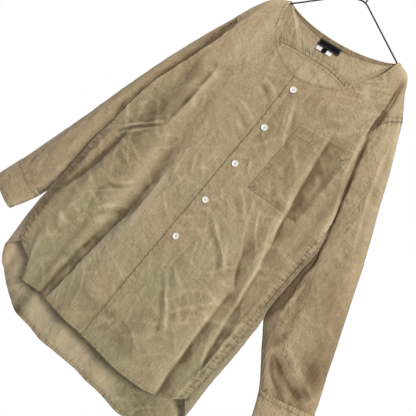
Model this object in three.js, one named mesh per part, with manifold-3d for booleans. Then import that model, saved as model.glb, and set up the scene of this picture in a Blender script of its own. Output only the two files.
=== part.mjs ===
// A long-sleeved collarless shirt with a shirt-tail hem, hanging on a thin wire hanger.
// Sizes are in millimetres. +Z is up, -Y is the shirt's front and +X is the wearer's left.
// The origin is the inside top of the hook, where a rail carries the hanger.

import * as THREE from 'three';
import { mergeVertices } from 'three/addons/utils/BufferGeometryUtils.js';
import Module from 'manifold-3d';

// ---- Driving sizes ----
const WALL = 1.2; // cloth wall
const LABEL_WALL = 0.8; // woven labels
const SEAM_GAP = 0.36; // between two pieces where they are sewn together
const POCKET_EASE = 0.4; // extra room of the pocket over the chest's folds
const LAYER_GAP = 0.45; // between a piece and the panel that it lies on
const NECK_Z = -147; // height of the neck points below the hook's bearing point
const APEX_Z = 69; // the wire's apex above the neck points
const WIRE_RADIUS = 1.5;
const WIRE_DROP = 3.5; // from the shoulder line down to the wire's centre
const HOOK_RADIUS = 17.5; // centreline of the hook's round part
const HANGER_TIP_X = 134;
const PLACKET_WIDTH = 32;
const BUTTON_RADIUS = 6.2;
const BUTTON_THICKNESS = 2.4;
const BUTTON_Z = [-150, -236, -320, -404, -488];
const CUFF_BUTTON_RADIUS = 5.2;
const POCKET = { leftX: 58, rightX: 163, topZ: -196, topRise: 6, bottomZ: -341 };
const FACING_WIDTH = 10;
const LABEL = { x: -8, z: -36, width: 47, height: 13 };
const SIZE_TAB = { x: -6, z: -46, width: 9, height: 10 };
const CARE_TAB = { x: -9, z: -45, width: 34, height: 12 };

// Stations down the garment: 0 is the shoulder line, 3 the yoke seam, 7 the underarm, 12 the hem.
const YOKE_STATION = 3;
const EDGE_STATION = 6; // the neckline ends and the front edge starts
const UNDERARM_STATION = 7;
const HEM_STATION = 12;

// Columns of the tables below, with X measured outwards from the middle on each half:
// edge: neckline, then front edge. fold: the crest at the side of the front.
// turn: the outermost line of that fold. seam: armhole, then side seam.
const FRONT_COLUMNS = ['edgeX', 'edgeY', 'edgeZ', 'foldX', 'foldY', 'foldZ',
  'turnX', 'turnY', 'seamX', 'seamY', 'seamZ'];

const FRONT_LEFT = table(FRONT_COLUMNS, [
  [120, 0, 3, 138, 0, -5, 165, 0, 190, 0, -86],
  [113, -8, -30, 147, -13, -50, 162, -12, 179, -8, -96],
  [101, -14, -57, 151, -20, -88, 160, -17, 167, -12, -108],
  [80, -19, -87, 154, -26, -130, 160.5, -19, 159, -9, -142],
  [50, -23, -110, 161, -30, -182, 168, -22, 160, -7, -192],
  [15, -25, -123, 177, -31, -238, 184.5, -22, 168, -7, -247],
  [-10, -26, -127, 195, -31, -291, 201, -23, 184, -10, -300],
  [-9, -29, -215, 201, -31, -345, 207, -25, 204, -17, -346],
  [-10, -32, -310, 196, -33, -405, 205, -28, 208, -19, -406],
  [-11, -35, -405, 191, -35, -482, 201, -30, 206, -20, -482],
  [-12.5, -38, -505, 187, -37, -562, 198, -32, 204, -21, -562],
  [-15, -40, -615, 182, -38, -635, 194, -33, 201, -22, -632],
  [-16, -42, -731, 172, -39, -708, 188, -35, 197, -24, -688],
]);

const FRONT_RIGHT = table(FRONT_COLUMNS, [
  [119, 0, 0, 140, 0, -8, 174, 0, 192, 0, -84],
  [113, -8, -30, 150, -13, -52, 165, -12, 181, -7, -93],
  [101, -14, -57, 161, -19, -92, 171, -17, 173, -10, -108],
  [80, -19, -87, 172, -25, -128, 179, -19, 169, -8, -142],
  [50, -22, -110, 186, -28, -176, 193, -20, 178, -6, -194],
  [15, -22, -123, 209, -30, -236, 215, -21, 197, -7, -250],
  [-22, -22.6, -126, 230, -30, -298, 236, -22, 217, -9, -309],
  [-23, -25.6, -215, 240.5, -30, -368, 246.5, -24, 243, -17, -372],
  [-22, -28.6, -310, 239, -32, -432, 248.5, -27, 251, -20, -436],
  [-21, -31.6, -405, 234, -34, -504, 246, -29, 253, -21, -505],
  [-19.5, -34.6, -505, 230, -36, -570, 244, -31, 252, -22, -572],
  [-17, -36.6, -615, 207, -38, -652, 226, -33, 247, -24, -636],
  [-16, -38.6, -731, 173, -41, -735, 184, -36, 236, -26, -686],
]);

// The back has the same stations. Its rows above the yoke seam give only the armhole,
// and from the underarm down it shares the fronts' side seams.
const BACK_COLUMNS = ['midY', 'midZ', 'foldX', 'foldY', 'foldZ', 'turnX', 'turnY',
  'seamX', 'seamY', 'seamZ'];

const BACK_LEFT = table(BACK_COLUMNS, [
  [5, -19, 150, 0, -13, 173, 0, 190, 0, -86],
  [13, -36, 150, 12, -50, 171, 11, 184, 8, -108],
  [18, -53, 150, 20, -90, 170, 17, 177, 12, -132],
  [22, -64, 150, 25, -128, 170, 21, 172, 14, -160],
  [25, -125, 160, 28, -175, 172, 23, 168, 14, -200],
  [27, -190, 162, 29, -232, 171, 22, 172, 11, -250],
  [28, -262, 172, 28, -292, 182, 17, 186, 3, -302],
  [29, -340, 190, 24, -345, 203, 5, 204, -17, -346],
  [30, -415, 201, 25, -410, 210, 4, 208, -19, -406],
  [31, -500, 202, 27, -485, 211, 3, 206, -20, -482],
  [32, -590, 203, 28, -570, 212, 3, 204, -21, -562],
  [33, -695, 202, 30, -660, 211, 3, 201, -22, -632],
  [34, -808, 196, 32, -765, 210, 4, 197, -24, -688],
]);

const BACK_RIGHT = table(BACK_COLUMNS, [
  [5, -19, 150, 0, -14, 175, 0, 192, 0, -84],
  [13, -36, 151, 12, -50, 172, 11, 186, 8, -106],
  [18, -53, 152, 20, -90, 173, 17, 181, 12, -130],
  [22, -64, 154, 25, -126, 175, 21, 178, 14, -158],
  [25, -125, 170, 28, -172, 184, 23, 180, 14, -200],
  [27, -190, 186, 29, -236, 195, 22, 196, 11, -252],
  [28, -262, 202, 28, -300, 212, 17, 217, 3, -311],
  [29, -340, 226, 24, -368, 239, 5, 243, -17, -372],
  [30, -415, 243, 25, -435, 253, 4, 251, -20, -436],
  [31, -500, 256, 27, -505, 266, 3, 253, -21, -505],
  [32, -590, 266, 28, -575, 277, 2, 252, -22, -572],
  [33, -695, 270, 29, -650, 280, 1, 246, -24, -636],
  [34, -808, 262, 32, -768, 278, 2, 236, -26, -686],
]);

// Sleeves: outer and inner line, and how far the cloth stands out in front and behind.
// Row 0 is the armhole itself, the last row but one the cuff seam and the last the cuff's end.
const SLEEVE_COLUMNS = ['outerX', 'outerY', 'outerZ', 'innerX', 'innerY', 'innerZ', 'front', 'back'];

const SLEEVE_LEFT = table(SLEEVE_COLUMNS, [
  [190, 0, -86, 204, -17, -346, 8, 14],
  [223, 0, -162, 216.5, -5, -370, 10, 17],
  [252, 0, -238, 217.5, 0, -408, 20, 23],
  [286, 0, -325, 216, 2, -450, 25, 25],
  [317, 0, -412, 216, 2, -492, 24, 24],
  [347, 0, -500, 242, 2, -545, 20, 20],
  [373, 0, -574, 281, 2, -601, 14, 14],
  [387, 0, -634, 295, 2, -661, 13, 13],
]);

const SLEEVE_RIGHT = table(SLEEVE_COLUMNS, [
  [192, 0, -84, 243, -17, -372, 8, 14],
  [225, 3, -150, 257, -4, -394, 9, 17],
  [253, 6, -220, 266, 0, -424, 20, 23],
  [283.5, 9, -304, 273, 2, -460, 25, 25],
  [312.5, 11, -388, 276, 4, -500, 26, 26],
  [343, 12, -470, 279.5, 4, -550, 22, 22],
  [382, 12, -576, 294, 5, -604, 14, 14],
  [406, 12, -634, 329, 5, -664, 13, 13],
]);

// Largest folds of the fronts and the back: a soft trough (or ridge, if negative) along a line.
const FOLD_COLUMNS = ['x0', 'z0', 'x1', 'z1', 'width', 'depth'];

const FRONT_FOLDS = table(FOLD_COLUMNS, [
  [-131, -190, -112, -400, 22, 9],
  [-112, -400, -106, -520, 24, 10],
  [-110, -520, -135, -740, 20, 11],
  [-190, -420, -200, -690, 22, -5],
  [-62, -480, -60, -735, 30, -6],
  [134, -190, 152, -345, 16, 5],
  [128, -420, 146, -500, 18, 6],
  [150, -520, 160, -735, 13, 9],
  [172, -470, 190, -600, 9, 5],
  [60, -560, 70, -735, 30, -5],
]);

const BACK_FOLDS = table(FOLD_COLUMNS, [
  [-150, -240, -175, -800, 26, -9],
  [-70, -260, -95, -815, 24, -7],
  [10, -120, 20, -815, 22, -6],
  [95, -230, 110, -815, 26, -9],
]);

// ---- Sampling of the solids ----
const SHOULDER_ROWS = [0, 0.15, 0.5, 1, 1.5, 2, 2.5, 3];
const ARMHOLE_ROWS = [3, 3.5, 4, 4.5, 5, 5.5, 6, 6.5, 7];
const SIDE_ROWS = [7, 7.5, 8, 8.5, 9, 9.5, 10, 10.5, 11, 11.4, 11.7, 12];
const NECK_SHARES = [0, 0.22, 0.44, 0.66, 0.85, 0.95];
const TAIL_SAG = 8; // the tail hangs lower on the wearer's right
const NECK_PART = 0.36; // share of a back row's flat part that hangs below the neck
const FLAT_COLUMNS_COUNT = 12;
const TURN_COLUMNS = [1.5, 2, 2.5, 3];
const SLEEVE_STEPS = [0, 0.35, 0.7, 1.1, 1.6, 2.2, 2.9, 3.6, 4.3, 5, 5.5, 6];
const CUFF_STEPS = [6, 6.5, 7];

// ---- Materials ----
const CLOTH = { color: 0xb59c78, roughness: 0.85, metalness: 0 };
const BUTTON = { color: 0xe9e6dc, roughness: 0.35, metalness: 0 };
const WIRE = { color: 0x2a2826, roughness: 0.4, metalness: 0.2 };
const BLACK_LABEL = { color: 0x1c1b1d, roughness: 0.8, metalness: 0 };
const WHITE_LABEL = { color: 0xe4e2de, roughness: 0.7, metalness: 0 };

// ---- Small helpers ----

function table(columns, rows) {
  return rows.map((row) => Object.fromEntries(columns.map((name, i) => [name, row[i]])));
}

function clamp01(t) {
  return Math.min(1, Math.max(0, t));
}

function smooth(t) {
  const c = clamp01(t);
  return c * c * (3 - 2 * c);
}

function mix(a, b, t) {
  return a + (b - a) * t;
}

// Uniform Catmull-Rom through a column of a table, at a station between first and last.
function column(rows, name, station, first = 0, last = rows.length - 1) {
  const i = Math.min(last - 1, Math.max(first, Math.floor(station)));
  const t = station - i;
  const p1 = rows[i][name];
  const p2 = rows[i + 1][name];
  const p0 = i > first ? rows[i - 1][name] : 2 * p1 - p2;
  const p3 = i + 2 <= last ? rows[i + 2][name] : 2 * p2 - p1;
  const a = 2 * p1;
  const b = p2 - p0;
  const c = 2 * p0 - 5 * p1 + 4 * p2 - p3;
  const d = 3 * p1 - p0 - 3 * p2 + p3;
  return 0.5 * (a + b * t + c * t * t + d * t * t * t);
}

// The point at station of three columns that share a prefix, such as seamX, seamY and seamZ.
function place(rows, prefix, station, first, last) {
  const axes = ['X', 'Y', 'Z'].map((axis) => column(rows, prefix + axis, station, first, last));
  return new THREE.Vector3(...axes);
}

// Curve through points with knots at their distances, at t counted in points. Its first
// stretch is straight, and the rest leaves it smoothly.
function throughPoints(points, t) {
  const n = points.length;
  const i = Math.min(n - 2, Math.floor(t));
  const f = t - i;
  const step = (k) => Math.max(1e-6, points[k].distanceTo(points[k + 1]));
  const slope = (k) => points[k + 1].clone().sub(points[k]).divideScalar(step(k));
  const tangent = (k) => {
    if (k <= 1) return slope(0);
    if (k === n - 1) return slope(n - 2);
    const before = slope(k - 1).multiplyScalar(step(k));
    const after = slope(k).multiplyScalar(step(k - 1));
    return before.add(after).divideScalar(step(k - 1) + step(k));
  };
  const h = step(i);
  const m0 = tangent(i).multiplyScalar(h);
  const m1 = tangent(i + 1).multiplyScalar(h);
  const f2 = f * f;
  const f3 = f2 * f;
  return points[i].clone().multiplyScalar(2 * f3 - 3 * f2 + 1)
    .addScaledVector(m0, f3 - 2 * f2 + f)
    .addScaledVector(points[i + 1], 3 * f2 - 2 * f3)
    .addScaledVector(m1, f3 - f2);
}

// Depth of the folds at (x, z), each with soft sides and ends.
function foldDepth(folds, x, z) {
  let sum = 0;
  for (const fold of folds) {
    const dx = fold.x1 - fold.x0;
    const dz = fold.z1 - fold.z0;
    const length = Math.hypot(dx, dz);
    const along = ((x - fold.x0) * dx + (z - fold.z0) * dz) / length;
    const across = ((x - fold.x0) * dz - (z - fold.z0) * dx) / length;
    const over = Math.max(0, -along, along - length) / (2.2 * fold.width);
    sum += fold.depth * Math.exp(-((across / fold.width) ** 2)) * Math.exp(-over * over);
  }
  return sum;
}

// ---- The garment's middle surface ----

// Near the shoulder line the cloth leaves the wire steeply, so its depth starts as a root.
function leaveWire(y, yAtFirst, station) {
  return station < 1 ? yAtFirst * station ** 0.5 : y;
}

// A point of one front. across: 0 at the edge, 1 at the fold, 2 at the turn, 3 at the seam.
function frontPoint(rows, side, across, station) {
  const neck = station <= EDGE_STATION;
  const edge = neck ? place(rows, 'edge', station, 0, EDGE_STATION)
    : place(rows, 'edge', station, EDGE_STATION, HEM_STATION);
  const fold = place(rows, 'fold', station);
  const seam = place(rows, 'seam', station);
  const turn = new THREE.Vector3(column(rows, 'turnX', station), column(rows, 'turnY', station),
    (fold.z + seam.z) / 2);
  if (station < 1) {
    edge.y = leaveWire(edge.y, rows[1].edgeY, station);
    fold.y = leaveWire(fold.y, rows[1].foldY, station);
    turn.y = leaveWire(turn.y, rows[1].turnY, station);
    seam.y = leaveWire(seam.y, rows[1].seamY, station);
  }
  const p = throughPoints([edge, fold, turn, seam], across);
  if (across < 1) {
    const hemLevel = mix(1, 5, smooth((station - 9) / 3));
    p.z += (fold.z - edge.z) * (across ** hemLevel - across);
  }
  p.x *= side;
  const calm = 1 - smooth(across - 0.9);
  const below = smooth((station - 1) / 3);
  p.y += foldDepth(FRONT_FOLDS, p.x, p.z) * calm * below;
  return p;
}

// The top of the yoke: back neck from the middle to the neck point, then the shoulder line.
function yokeTop(front, back, side, neckShare, across) {
  if (neckShare < 1) {
    const neckPoint = place(front, 'edge', 0);
    const middle = new THREE.Vector3(0, back[0].midY, back[0].midZ);
    const p = middle.clone().lerp(neckPoint, neckShare);
    p.z = mix(middle.z, neckPoint.z, neckShare ** 2.2);
    p.y = middle.y * Math.sqrt(1 - neckShare ** 10);
    p.x *= side;
    return p;
  }
  return frontPoint(front, side, across, 0);
}

// A point of the back or yoke half. neckShare and across say which column it is in.
function backPoint(front, back, side, neckShare, across, station) {
  const rowAcross = across > 1 ? across : mix(NECK_PART * neckShare, 1, Math.min(1, across));
  const low = Math.max(YOKE_STATION, station);
  const first = YOKE_STATION;
  const middle = new THREE.Vector3(0, column(back, 'midY', low, first), column(back, 'midZ', low, first));
  const fold = place(back, 'fold', low, first);
  const seam = low >= UNDERARM_STATION ? place(front, 'seam', low) : place(back, 'seam', low, 0, 7);
  const turn = new THREE.Vector3(column(back, 'turnX', low, first), column(back, 'turnY', low, first),
    (fold.z + seam.z) / 2);
  const p = throughPoints([middle, fold, turn, seam], rowAcross);
  if (rowAcross < 1) {
    const level = mix(side > 0 ? 2 : 6, 1, smooth((low - 3) / 3)) + 4 * smooth((low - 9) / 3);
    p.z += (fold.z - middle.z) * (rowAcross ** level - rowAcross);
    if (side < 0) p.z -= TAIL_SAG * Math.sin(Math.PI * rowAcross) * smooth((low - 9) / 3);
  }
  p.x *= side;
  const calm = 1 - smooth(rowAcross - 0.9);
  p.y += foldDepth(BACK_FOLDS, p.x, p.z) * calm * smooth((station - 3) / 2);
  if (station >= YOKE_STATION) return p;
  const top = yokeTop(front, back, side, neckShare, across);
  const t = station / YOKE_STATION;
  const blended = top.clone().lerp(p, t);
  const root = mix(top.y, p.y, t ** 0.55);
  blended.y = root;
  const edgeNow = place(back, 'seam', station, 0, 7);
  if (station < 1) edgeNow.y = leaveWire(edgeNow.y, back[1].seamY, station);
  const edgeTop = place(back, 'seam', 0);
  const edgeLow = place(back, 'seam', YOKE_STATION, 0, 7);
  const edgeFlat = edgeTop.clone().lerp(edgeLow, t);
  edgeFlat.y = mix(edgeTop.y, edgeLow.y, t ** 0.55);
  const pull = across > 1 ? smooth((across - 1) / 2) : 0;
  const fix = edgeNow.sub(edgeFlat).multiplyScalar(pull);
  fix.x *= side;
  return blended.add(fix);
}

// An oval ring of a sleeve at a step down it, in the wearer's-left sense.
function sleeveRing(sleeve, isBack, angle, step) {
  const outer = place(sleeve, 'outer', step);
  const inner = place(sleeve, 'inner', step);
  const depth = isBack ? column(sleeve, 'back', step) : -column(sleeve, 'front', step);
  const ring = outer.clone().add(inner).multiplyScalar(0.5);
  ring.addScaledVector(outer.sub(inner), 0.5 * Math.cos(angle));
  ring.y += depth * Math.sin(angle) ** 0.8;
  return ring;
}

// A point of a sleeve. around runs 0..7 down the front of the armhole and 7..0 up its back.
function sleevePoint(front, back, sleeve, side, isBack, around, step) {
  const angle = Math.PI * around / UNDERARM_STATION;
  const p = sleeveRing(sleeve, isBack, angle, step);
  const hold = 1 - smooth(step / 1.6);
  if (hold > 0) {
    const armhole = isBack ? place(back, 'seam', around, 0, 7) : place(front, 'seam', around);
    armhole.y = leaveWire(armhole.y, isBack ? back[1].seamY : front[1].seamY, around);
    p.addScaledVector(armhole.sub(sleeveRing(sleeve, isBack, angle, 0)), hold);
  }
  p.x *= side;
  return p;
}

// ---- Grids of points and their walls ----

function makeGrid(name, rows, columns, pointAt, closed = false) {
  const points = rows.map((row) => columns.map((col) => pointAt(row, col)));
  return { name, points, closed, rows, columns };
}

// Unit normals of one grid, from the differences of neighbouring points.
function gridNormals(grid, flip) {
  const { points, closed } = grid;
  const n = points.length;
  const m = points[0].length;
  return points.map((row, i) => row.map((_, j) => {
    const up = points[Math.max(0, i - 1)][j];
    const down = points[Math.min(n - 1, i + 1)][j];
    const before = closed ? row[(j - 1 + m) % m] : row[Math.max(0, j - 1)];
    const after = closed ? row[(j + 1) % m] : row[Math.min(m - 1, j + 1)];
    const along = after.clone().sub(before);
    const normal = along.cross(down.clone().sub(up)).normalize();
    return flip ? normal.negate() : normal;
  }));
}

// Pieces that share a seam take the mean of their normals there, so their walls meet on a mitre.
function shareNormals(grids) {
  const sums = new Map();
  const key = (p) => [p.x, p.y, p.z].map((c) => Math.round(c * 50)).join();
  for (const grid of grids) {
    grid.points.forEach((row, i) => row.forEach((p, j) => {
      const k = key(p);
      if (!sums.has(k)) sums.set(k, new THREE.Vector3());
      sums.get(k).add(grid.normals[i][j]);
    }));
  }
  for (const grid of grids) {
    grid.normals = grid.points.map((row) => row.map((p) => sums.get(key(p)).clone().normalize()));
  }
}

// Moves a sewn edge into its own piece, so that two pieces keep SEAM_GAP between them.
function openSeams(grid, edges) {
  const { points, normals, closed } = grid;
  const n = points.length;
  const m = points[0].length;
  const moved = points.map((row) => row.map((p) => p.clone()));
  const pull = (i, j, ni, nj, ti, tj) => {
    const inward = points[ni][nj].clone().sub(points[i][j]).normalize();
    const alongSeam = points[ti][tj].clone().sub(points[i][j]).normalize();
    const aside = inward.clone();
    aside.addScaledVector(normals[i][j], -inward.dot(normals[i][j]));
    aside.addScaledVector(alongSeam, -aside.dot(alongSeam));
    const reach = Math.min(1.2, 0.5 * SEAM_GAP / Math.max(0.2, aside.length()));
    moved[i][j].addScaledVector(inward, reach);
  };
  for (let j = 0; j < m; j += 1) {
    const tj = closed ? (j + 1) % m : (j > 0 ? j - 1 : 1);
    if (edges.includes('top')) pull(0, j, 1, j, 0, tj);
    if (edges.includes('bottom')) pull(n - 1, j, n - 2, j, n - 1, tj);
  }
  for (let i = 0; i < n; i += 1) {
    const ti = i > 0 ? i - 1 : 1;
    if (edges.includes('first')) pull(i, 0, i, 1, ti, 0);
    if (edges.includes('last')) pull(i, m - 1, i, m - 2, ti, m - 1);
  }
  grid.points = moved;
}

// A closed wall round a grid: outer and inner faces, joined along every free edge.
function wallGeometry(grid, thickness, offset = 0) {
  const { points, normals, closed } = grid;
  const n = points.length;
  const m = points[0].length;
  const positions = [];
  const index = [];
  for (const level of [offset + thickness / 2, offset - thickness / 2]) {
    points.forEach((row, i) => row.forEach((p, j) => {
      const q = p.clone().addScaledVector(normals[i][j], level);
      positions.push(q.x, q.y, q.z + NECK_Z);
    }));
  }
  const inside = n * m;
  const at = (i, j) => i * m + (closed ? j % m : j);
  const quad = (a, b, c, d) => index.push(a, b, c, a, c, d);
  const spans = closed ? m : m - 1;
  for (let i = 0; i < n - 1; i += 1) {
    for (let j = 0; j < spans; j += 1) {
      const [a, b, c, d] = [at(i, j), at(i, j + 1), at(i + 1, j + 1), at(i + 1, j)];
      quad(a, d, c, b);
      quad(inside + a, inside + b, inside + c, inside + d);
    }
  }
  for (let j = 0; j < spans; j += 1) {
    quad(at(0, j), at(0, j + 1), inside + at(0, j + 1), inside + at(0, j));
    quad(at(n - 1, j + 1), at(n - 1, j), inside + at(n - 1, j), inside + at(n - 1, j + 1));
  }
  if (!closed) {
    for (let i = 0; i < n - 1; i += 1) {
      quad(at(i + 1, 0), at(i, 0), inside + at(i, 0), inside + at(i + 1, 0));
      quad(at(i, m - 1), at(i + 1, m - 1), inside + at(i + 1, m - 1), inside + at(i, m - 1));
    }
  }
  const geometry = new THREE.BufferGeometry();
  geometry.setAttribute('position', new THREE.Float32BufferAttribute(positions, 3));
  geometry.setIndex(index);
  return facingOut(geometry);
}

// Turns a closed mesh so that its faces point outwards.
function facingOut(geometry) {
  const p = geometry.attributes.position;
  const index = geometry.index.array;
  const [a, b, c] = [new THREE.Vector3(), new THREE.Vector3(), new THREE.Vector3()];
  let volume = 0;
  for (let i = 0; i < index.length; i += 3) {
    a.fromBufferAttribute(p, index[i]);
    b.fromBufferAttribute(p, index[i + 1]);
    c.fromBufferAttribute(p, index[i + 2]);
    volume += a.dot(b.cross(c));
  }
  if (volume < 0) {
    for (let i = 0; i < index.length; i += 3) {
      [index[i + 1], index[i + 2]] = [index[i + 2], index[i + 1]];
    }
  }
  return geometry;
}

function addMesh(group, name, geometry, look) {
  const mesh = new THREE.Mesh(geometry, new THREE.MeshStandardMaterial(look));
  mesh.name = name;
  group.add(mesh);
  return mesh;
}

// ---- Body panels ----

const FRONT_ROWS = [...SHOULDER_ROWS, ...ARMHOLE_ROWS.slice(1), ...SIDE_ROWS.slice(1)];
const BACK_ROWS = [...ARMHOLE_ROWS, ...SIDE_ROWS.slice(1)];
const flatColumns = Array.from({ length: FLAT_COLUMNS_COUNT + 1 }, (_, j) => j / FLAT_COLUMNS_COUNT);
const FRONT_ACROSS = [...flatColumns, ...TURN_COLUMNS];
const halfColumns = [
  ...NECK_SHARES.map((share) => ({ share, across: 0 })),
  ...FRONT_ACROSS.map((across) => ({ share: 1, across })),
];
const BACK_HALVES = [
  ...halfColumns.slice(1).reverse().map((c) => ({ ...c, side: -1 })),
  ...halfColumns.map((c) => ({ ...c, side: 1 })),
];

function backHalfPoint(station, { share, across, side }) {
  const front = side > 0 ? FRONT_LEFT : FRONT_RIGHT;
  const back = side > 0 ? BACK_LEFT : BACK_RIGHT;
  return backPoint(front, back, side, share, across, station);
}

const frontLeft = makeGrid('front_left', FRONT_ROWS, FRONT_ACROSS,
  (station, across) => frontPoint(FRONT_LEFT, 1, across, station));
const frontRight = makeGrid('front_right', FRONT_ROWS, FRONT_ACROSS,
  (station, across) => frontPoint(FRONT_RIGHT, -1, across, station));
const yoke = makeGrid('yoke', SHOULDER_ROWS, BACK_HALVES, backHalfPoint);
const back = makeGrid('back', BACK_ROWS, BACK_HALVES, backHalfPoint);

// ---- Sleeves and cuffs ----

const armholeRows = [...SHOULDER_ROWS, ...ARMHOLE_ROWS.slice(1)];
const AROUND = [
  ...armholeRows.map((around) => ({ around, isBack: false })),
  ...armholeRows.slice(1, -1).reverse().map((around) => ({ around, isBack: true })),
];

function sleeveGrid(name, side, steps) {
  const front = side > 0 ? FRONT_LEFT : FRONT_RIGHT;
  const rear = side > 0 ? BACK_LEFT : BACK_RIGHT;
  const sleeve = side > 0 ? SLEEVE_LEFT : SLEEVE_RIGHT;
  return makeGrid(name, steps, AROUND,
    (step, { around, isBack }) => sleevePoint(front, rear, sleeve, side, isBack, around, step), true);
}

const sleeveLeft = sleeveGrid('sleeve_left', 1, SLEEVE_STEPS);
const sleeveRight = sleeveGrid('sleeve_right', -1, SLEEVE_STEPS);
const cuffLeft = sleeveGrid('cuff_left', 1, CUFF_STEPS);
const cuffRight = sleeveGrid('cuff_right', -1, CUFF_STEPS);

const cloth = [frontLeft, frontRight, yoke, back, sleeveLeft, sleeveRight, cuffLeft, cuffRight];
const turned = [frontRight, yoke, back, sleeveLeft, cuffLeft];
for (const grid of cloth) grid.normals = gridNormals(grid, !turned.includes(grid));
shareNormals(cloth);
const frontOfLeft = { ...frontLeft };
const wholeYoke = { ...yoke };
openSeams(frontLeft, ['top', 'last']);
openSeams(frontRight, ['top', 'last']);
openSeams(yoke, ['top', 'bottom', 'first', 'last']);
openSeams(back, ['top', 'first', 'last']);
openSeams(sleeveLeft, ['top', 'bottom']);
openSeams(sleeveRight, ['top', 'bottom']);
openSeams(cuffLeft, ['top']);
openSeams(cuffRight, ['top']);

const garment = new THREE.Group();
for (const grid of cloth) addMesh(garment, grid.name, wallGeometry(grid, WALL), CLOTH);

// ---- Pieces that lie on a panel ----

// A place on a panel's own facets: its point and normal at (column value, row value).
function onGrid(grid, columnValues, columnAt, rowAt) {
  const cell = (values, value) => {
    let i = 0;
    while (i < values.length - 2 && values[i + 1] < value) i += 1;
    return [i, (value - values[i]) / (values[i + 1] - values[i])];
  };
  const [i, fi] = cell(grid.rows, rowAt);
  const [j, fj] = cell(columnValues, columnAt);
  const blend = (field) => {
    const top = field[i][j].clone().lerp(field[i][j + 1], fj);
    const low = field[i + 1][j].clone().lerp(field[i + 1][j + 1], fj);
    return top.lerp(low, fi);
  };
  return { point: blend(grid.points), normal: blend(grid.normals).normalize() };
}

// The station and column of a panel at which it passes through (x, z).
function locate(grid, columnValues, x, z, firstRow, lastRow) {
  let low = firstRow;
  let high = lastRow;
  let across = columnValues[0];
  for (let pass = 0; pass < 40; pass += 1) {
    const row = (low + high) / 2;
    let a = columnValues[0];
    let b = columnValues[columnValues.length - 1];
    for (let k = 0; k < 40; k += 1) {
      across = (a + b) / 2;
      if (onGrid(grid, columnValues, across, row).point.x < x) a = across;
      else b = across;
    }
    if (onGrid(grid, columnValues, across, row).point.z > z) low = row;
    else high = row;
  }
  return [across, (low + high) / 2];
}

// A flat patch laid on a panel, side is 1 on its outside and -1 on its inside.
function patchGrid(name, grid, columnValues, spots, side, level) {
  const places = spots.map((row) => row.map(([column_, row_]) => onGrid(grid, columnValues, column_, row_)));
  const raised = ({ point, normal }) => point.clone().addScaledVector(normal, side * level);
  return {
    name,
    closed: false,
    rows: spots.map((_, i) => i),
    points: places.map((row) => row.map(raised)),
    normals: places.map((row) => row.map(({ normal }) => normal.clone())),
  };
}

const overPanel = WALL + LAYER_GAP;

// Placket: a band down the left front's edge.
const PLACKET_ACROSS = 4;
const placketRows = FRONT_ROWS.filter((row) => row >= EDGE_STATION);
const placketSpots = placketRows.map((row) => {
  const start = onGrid(frontOfLeft, flatColumns, 0, row).point;
  const end = onGrid(frontOfLeft, flatColumns, 1, row).point;
  const share = PLACKET_WIDTH / start.distanceTo(end);
  return Array.from({ length: PLACKET_ACROSS + 1 }, (_, j) => [share * j / PLACKET_ACROSS, row]);
});
const placket = patchGrid('placket', frontOfLeft, flatColumns, placketSpots, 1, overPanel);
addMesh(garment, placket.name, wallGeometry(placket, WALL), CLOTH);

// Pocket: a patch on the left chest.
const POCKET_ACROSS = 9;
const POCKET_DOWN = 9;
const pocketSpots = Array.from({ length: POCKET_DOWN + 1 }, (_, i) => (
  Array.from({ length: POCKET_ACROSS + 1 }, (__, j) => {
    const s = j / POCKET_ACROSS;
    const top = POCKET.topZ + POCKET.topRise * s;
    const x = mix(POCKET.leftX, POCKET.rightX, s);
    const z = mix(top, POCKET.bottomZ, i / POCKET_DOWN);
    return locate(frontOfLeft, flatColumns, x, z, 3, 9);
  })
));
const pocket = patchGrid('pocket', frontOfLeft, flatColumns, pocketSpots, 1, overPanel + POCKET_EASE);
addMesh(garment, pocket.name, wallGeometry(pocket, WALL), CLOTH);

// Facing: a narrow strip inside the back neck.
const yokeColumns = BACK_HALVES.map((_, j) => j);
const neckFirst = FLAT_COLUMNS_COUNT + TURN_COLUMNS.length + 2;
const neckLast = BACK_HALVES.length - 1 - neckFirst;
const facingSpots = [0.06, 0.5].map((share) => (
  yokeColumns.slice(neckFirst, neckLast + 1).map((j) => {
    const drop = wholeYoke.points[0][j].distanceTo(wholeYoke.points[2][j]);
    return [j, wholeYoke.rows[2] * Math.min(1, 2 * share * FACING_WIDTH / drop)];
  })
));
const facing = patchGrid('neck_facing', wholeYoke, yokeColumns, facingSpots, -1, overPanel);
addMesh(garment, facing.name, wallGeometry(facing, WALL), CLOTH);

// Labels: flat tabs inside the yoke, the care tab behind and the main label in front.
function labelPatch(name, tab, level, look) {
  const spots = [0, 0.5, 1].map((down) => [0, 0.25, 0.5, 0.75, 1].map((s) => locate(wholeYoke, yokeColumns,
    tab.x + (s - 0.5) * tab.width, tab.z + (0.5 - down) * tab.height, 0, YOKE_STATION)));
  const grid = patchGrid(name, wholeYoke, yokeColumns, spots, -1, level);
  addMesh(garment, name, wallGeometry(grid, LABEL_WALL), look);
}
const labelStep = LABEL_WALL + LAYER_GAP;
const firstLabel = (WALL + LABEL_WALL) / 2 + LAYER_GAP;
labelPatch('label_care', CARE_TAB, firstLabel, WHITE_LABEL);
labelPatch('label_size', SIZE_TAB, firstLabel + labelStep, BLACK_LABEL);
labelPatch('label_main', LABEL, firstLabel + 2 * labelStep, BLACK_LABEL);

// ---- Buttons ----

// A round button with four holes, its back at z = 0.
function buttonGeometry(radius) {
  const outline = new THREE.Shape(ringPoints(0, 0, radius, 20));
  for (let k = 0; k < 4; k += 1) {
    const angle = Math.PI * (0.25 + 0.5 * k);
    const [x, y] = [0.27 * radius * Math.cos(angle), 0.27 * radius * Math.sin(angle)];
    outline.holes.push(new THREE.Path(ringPoints(x, y, 0.13 * radius, 6)));
  }
  return new THREE.ExtrudeGeometry(outline, { depth: BUTTON_THICKNESS, bevelEnabled: false });
}

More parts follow.
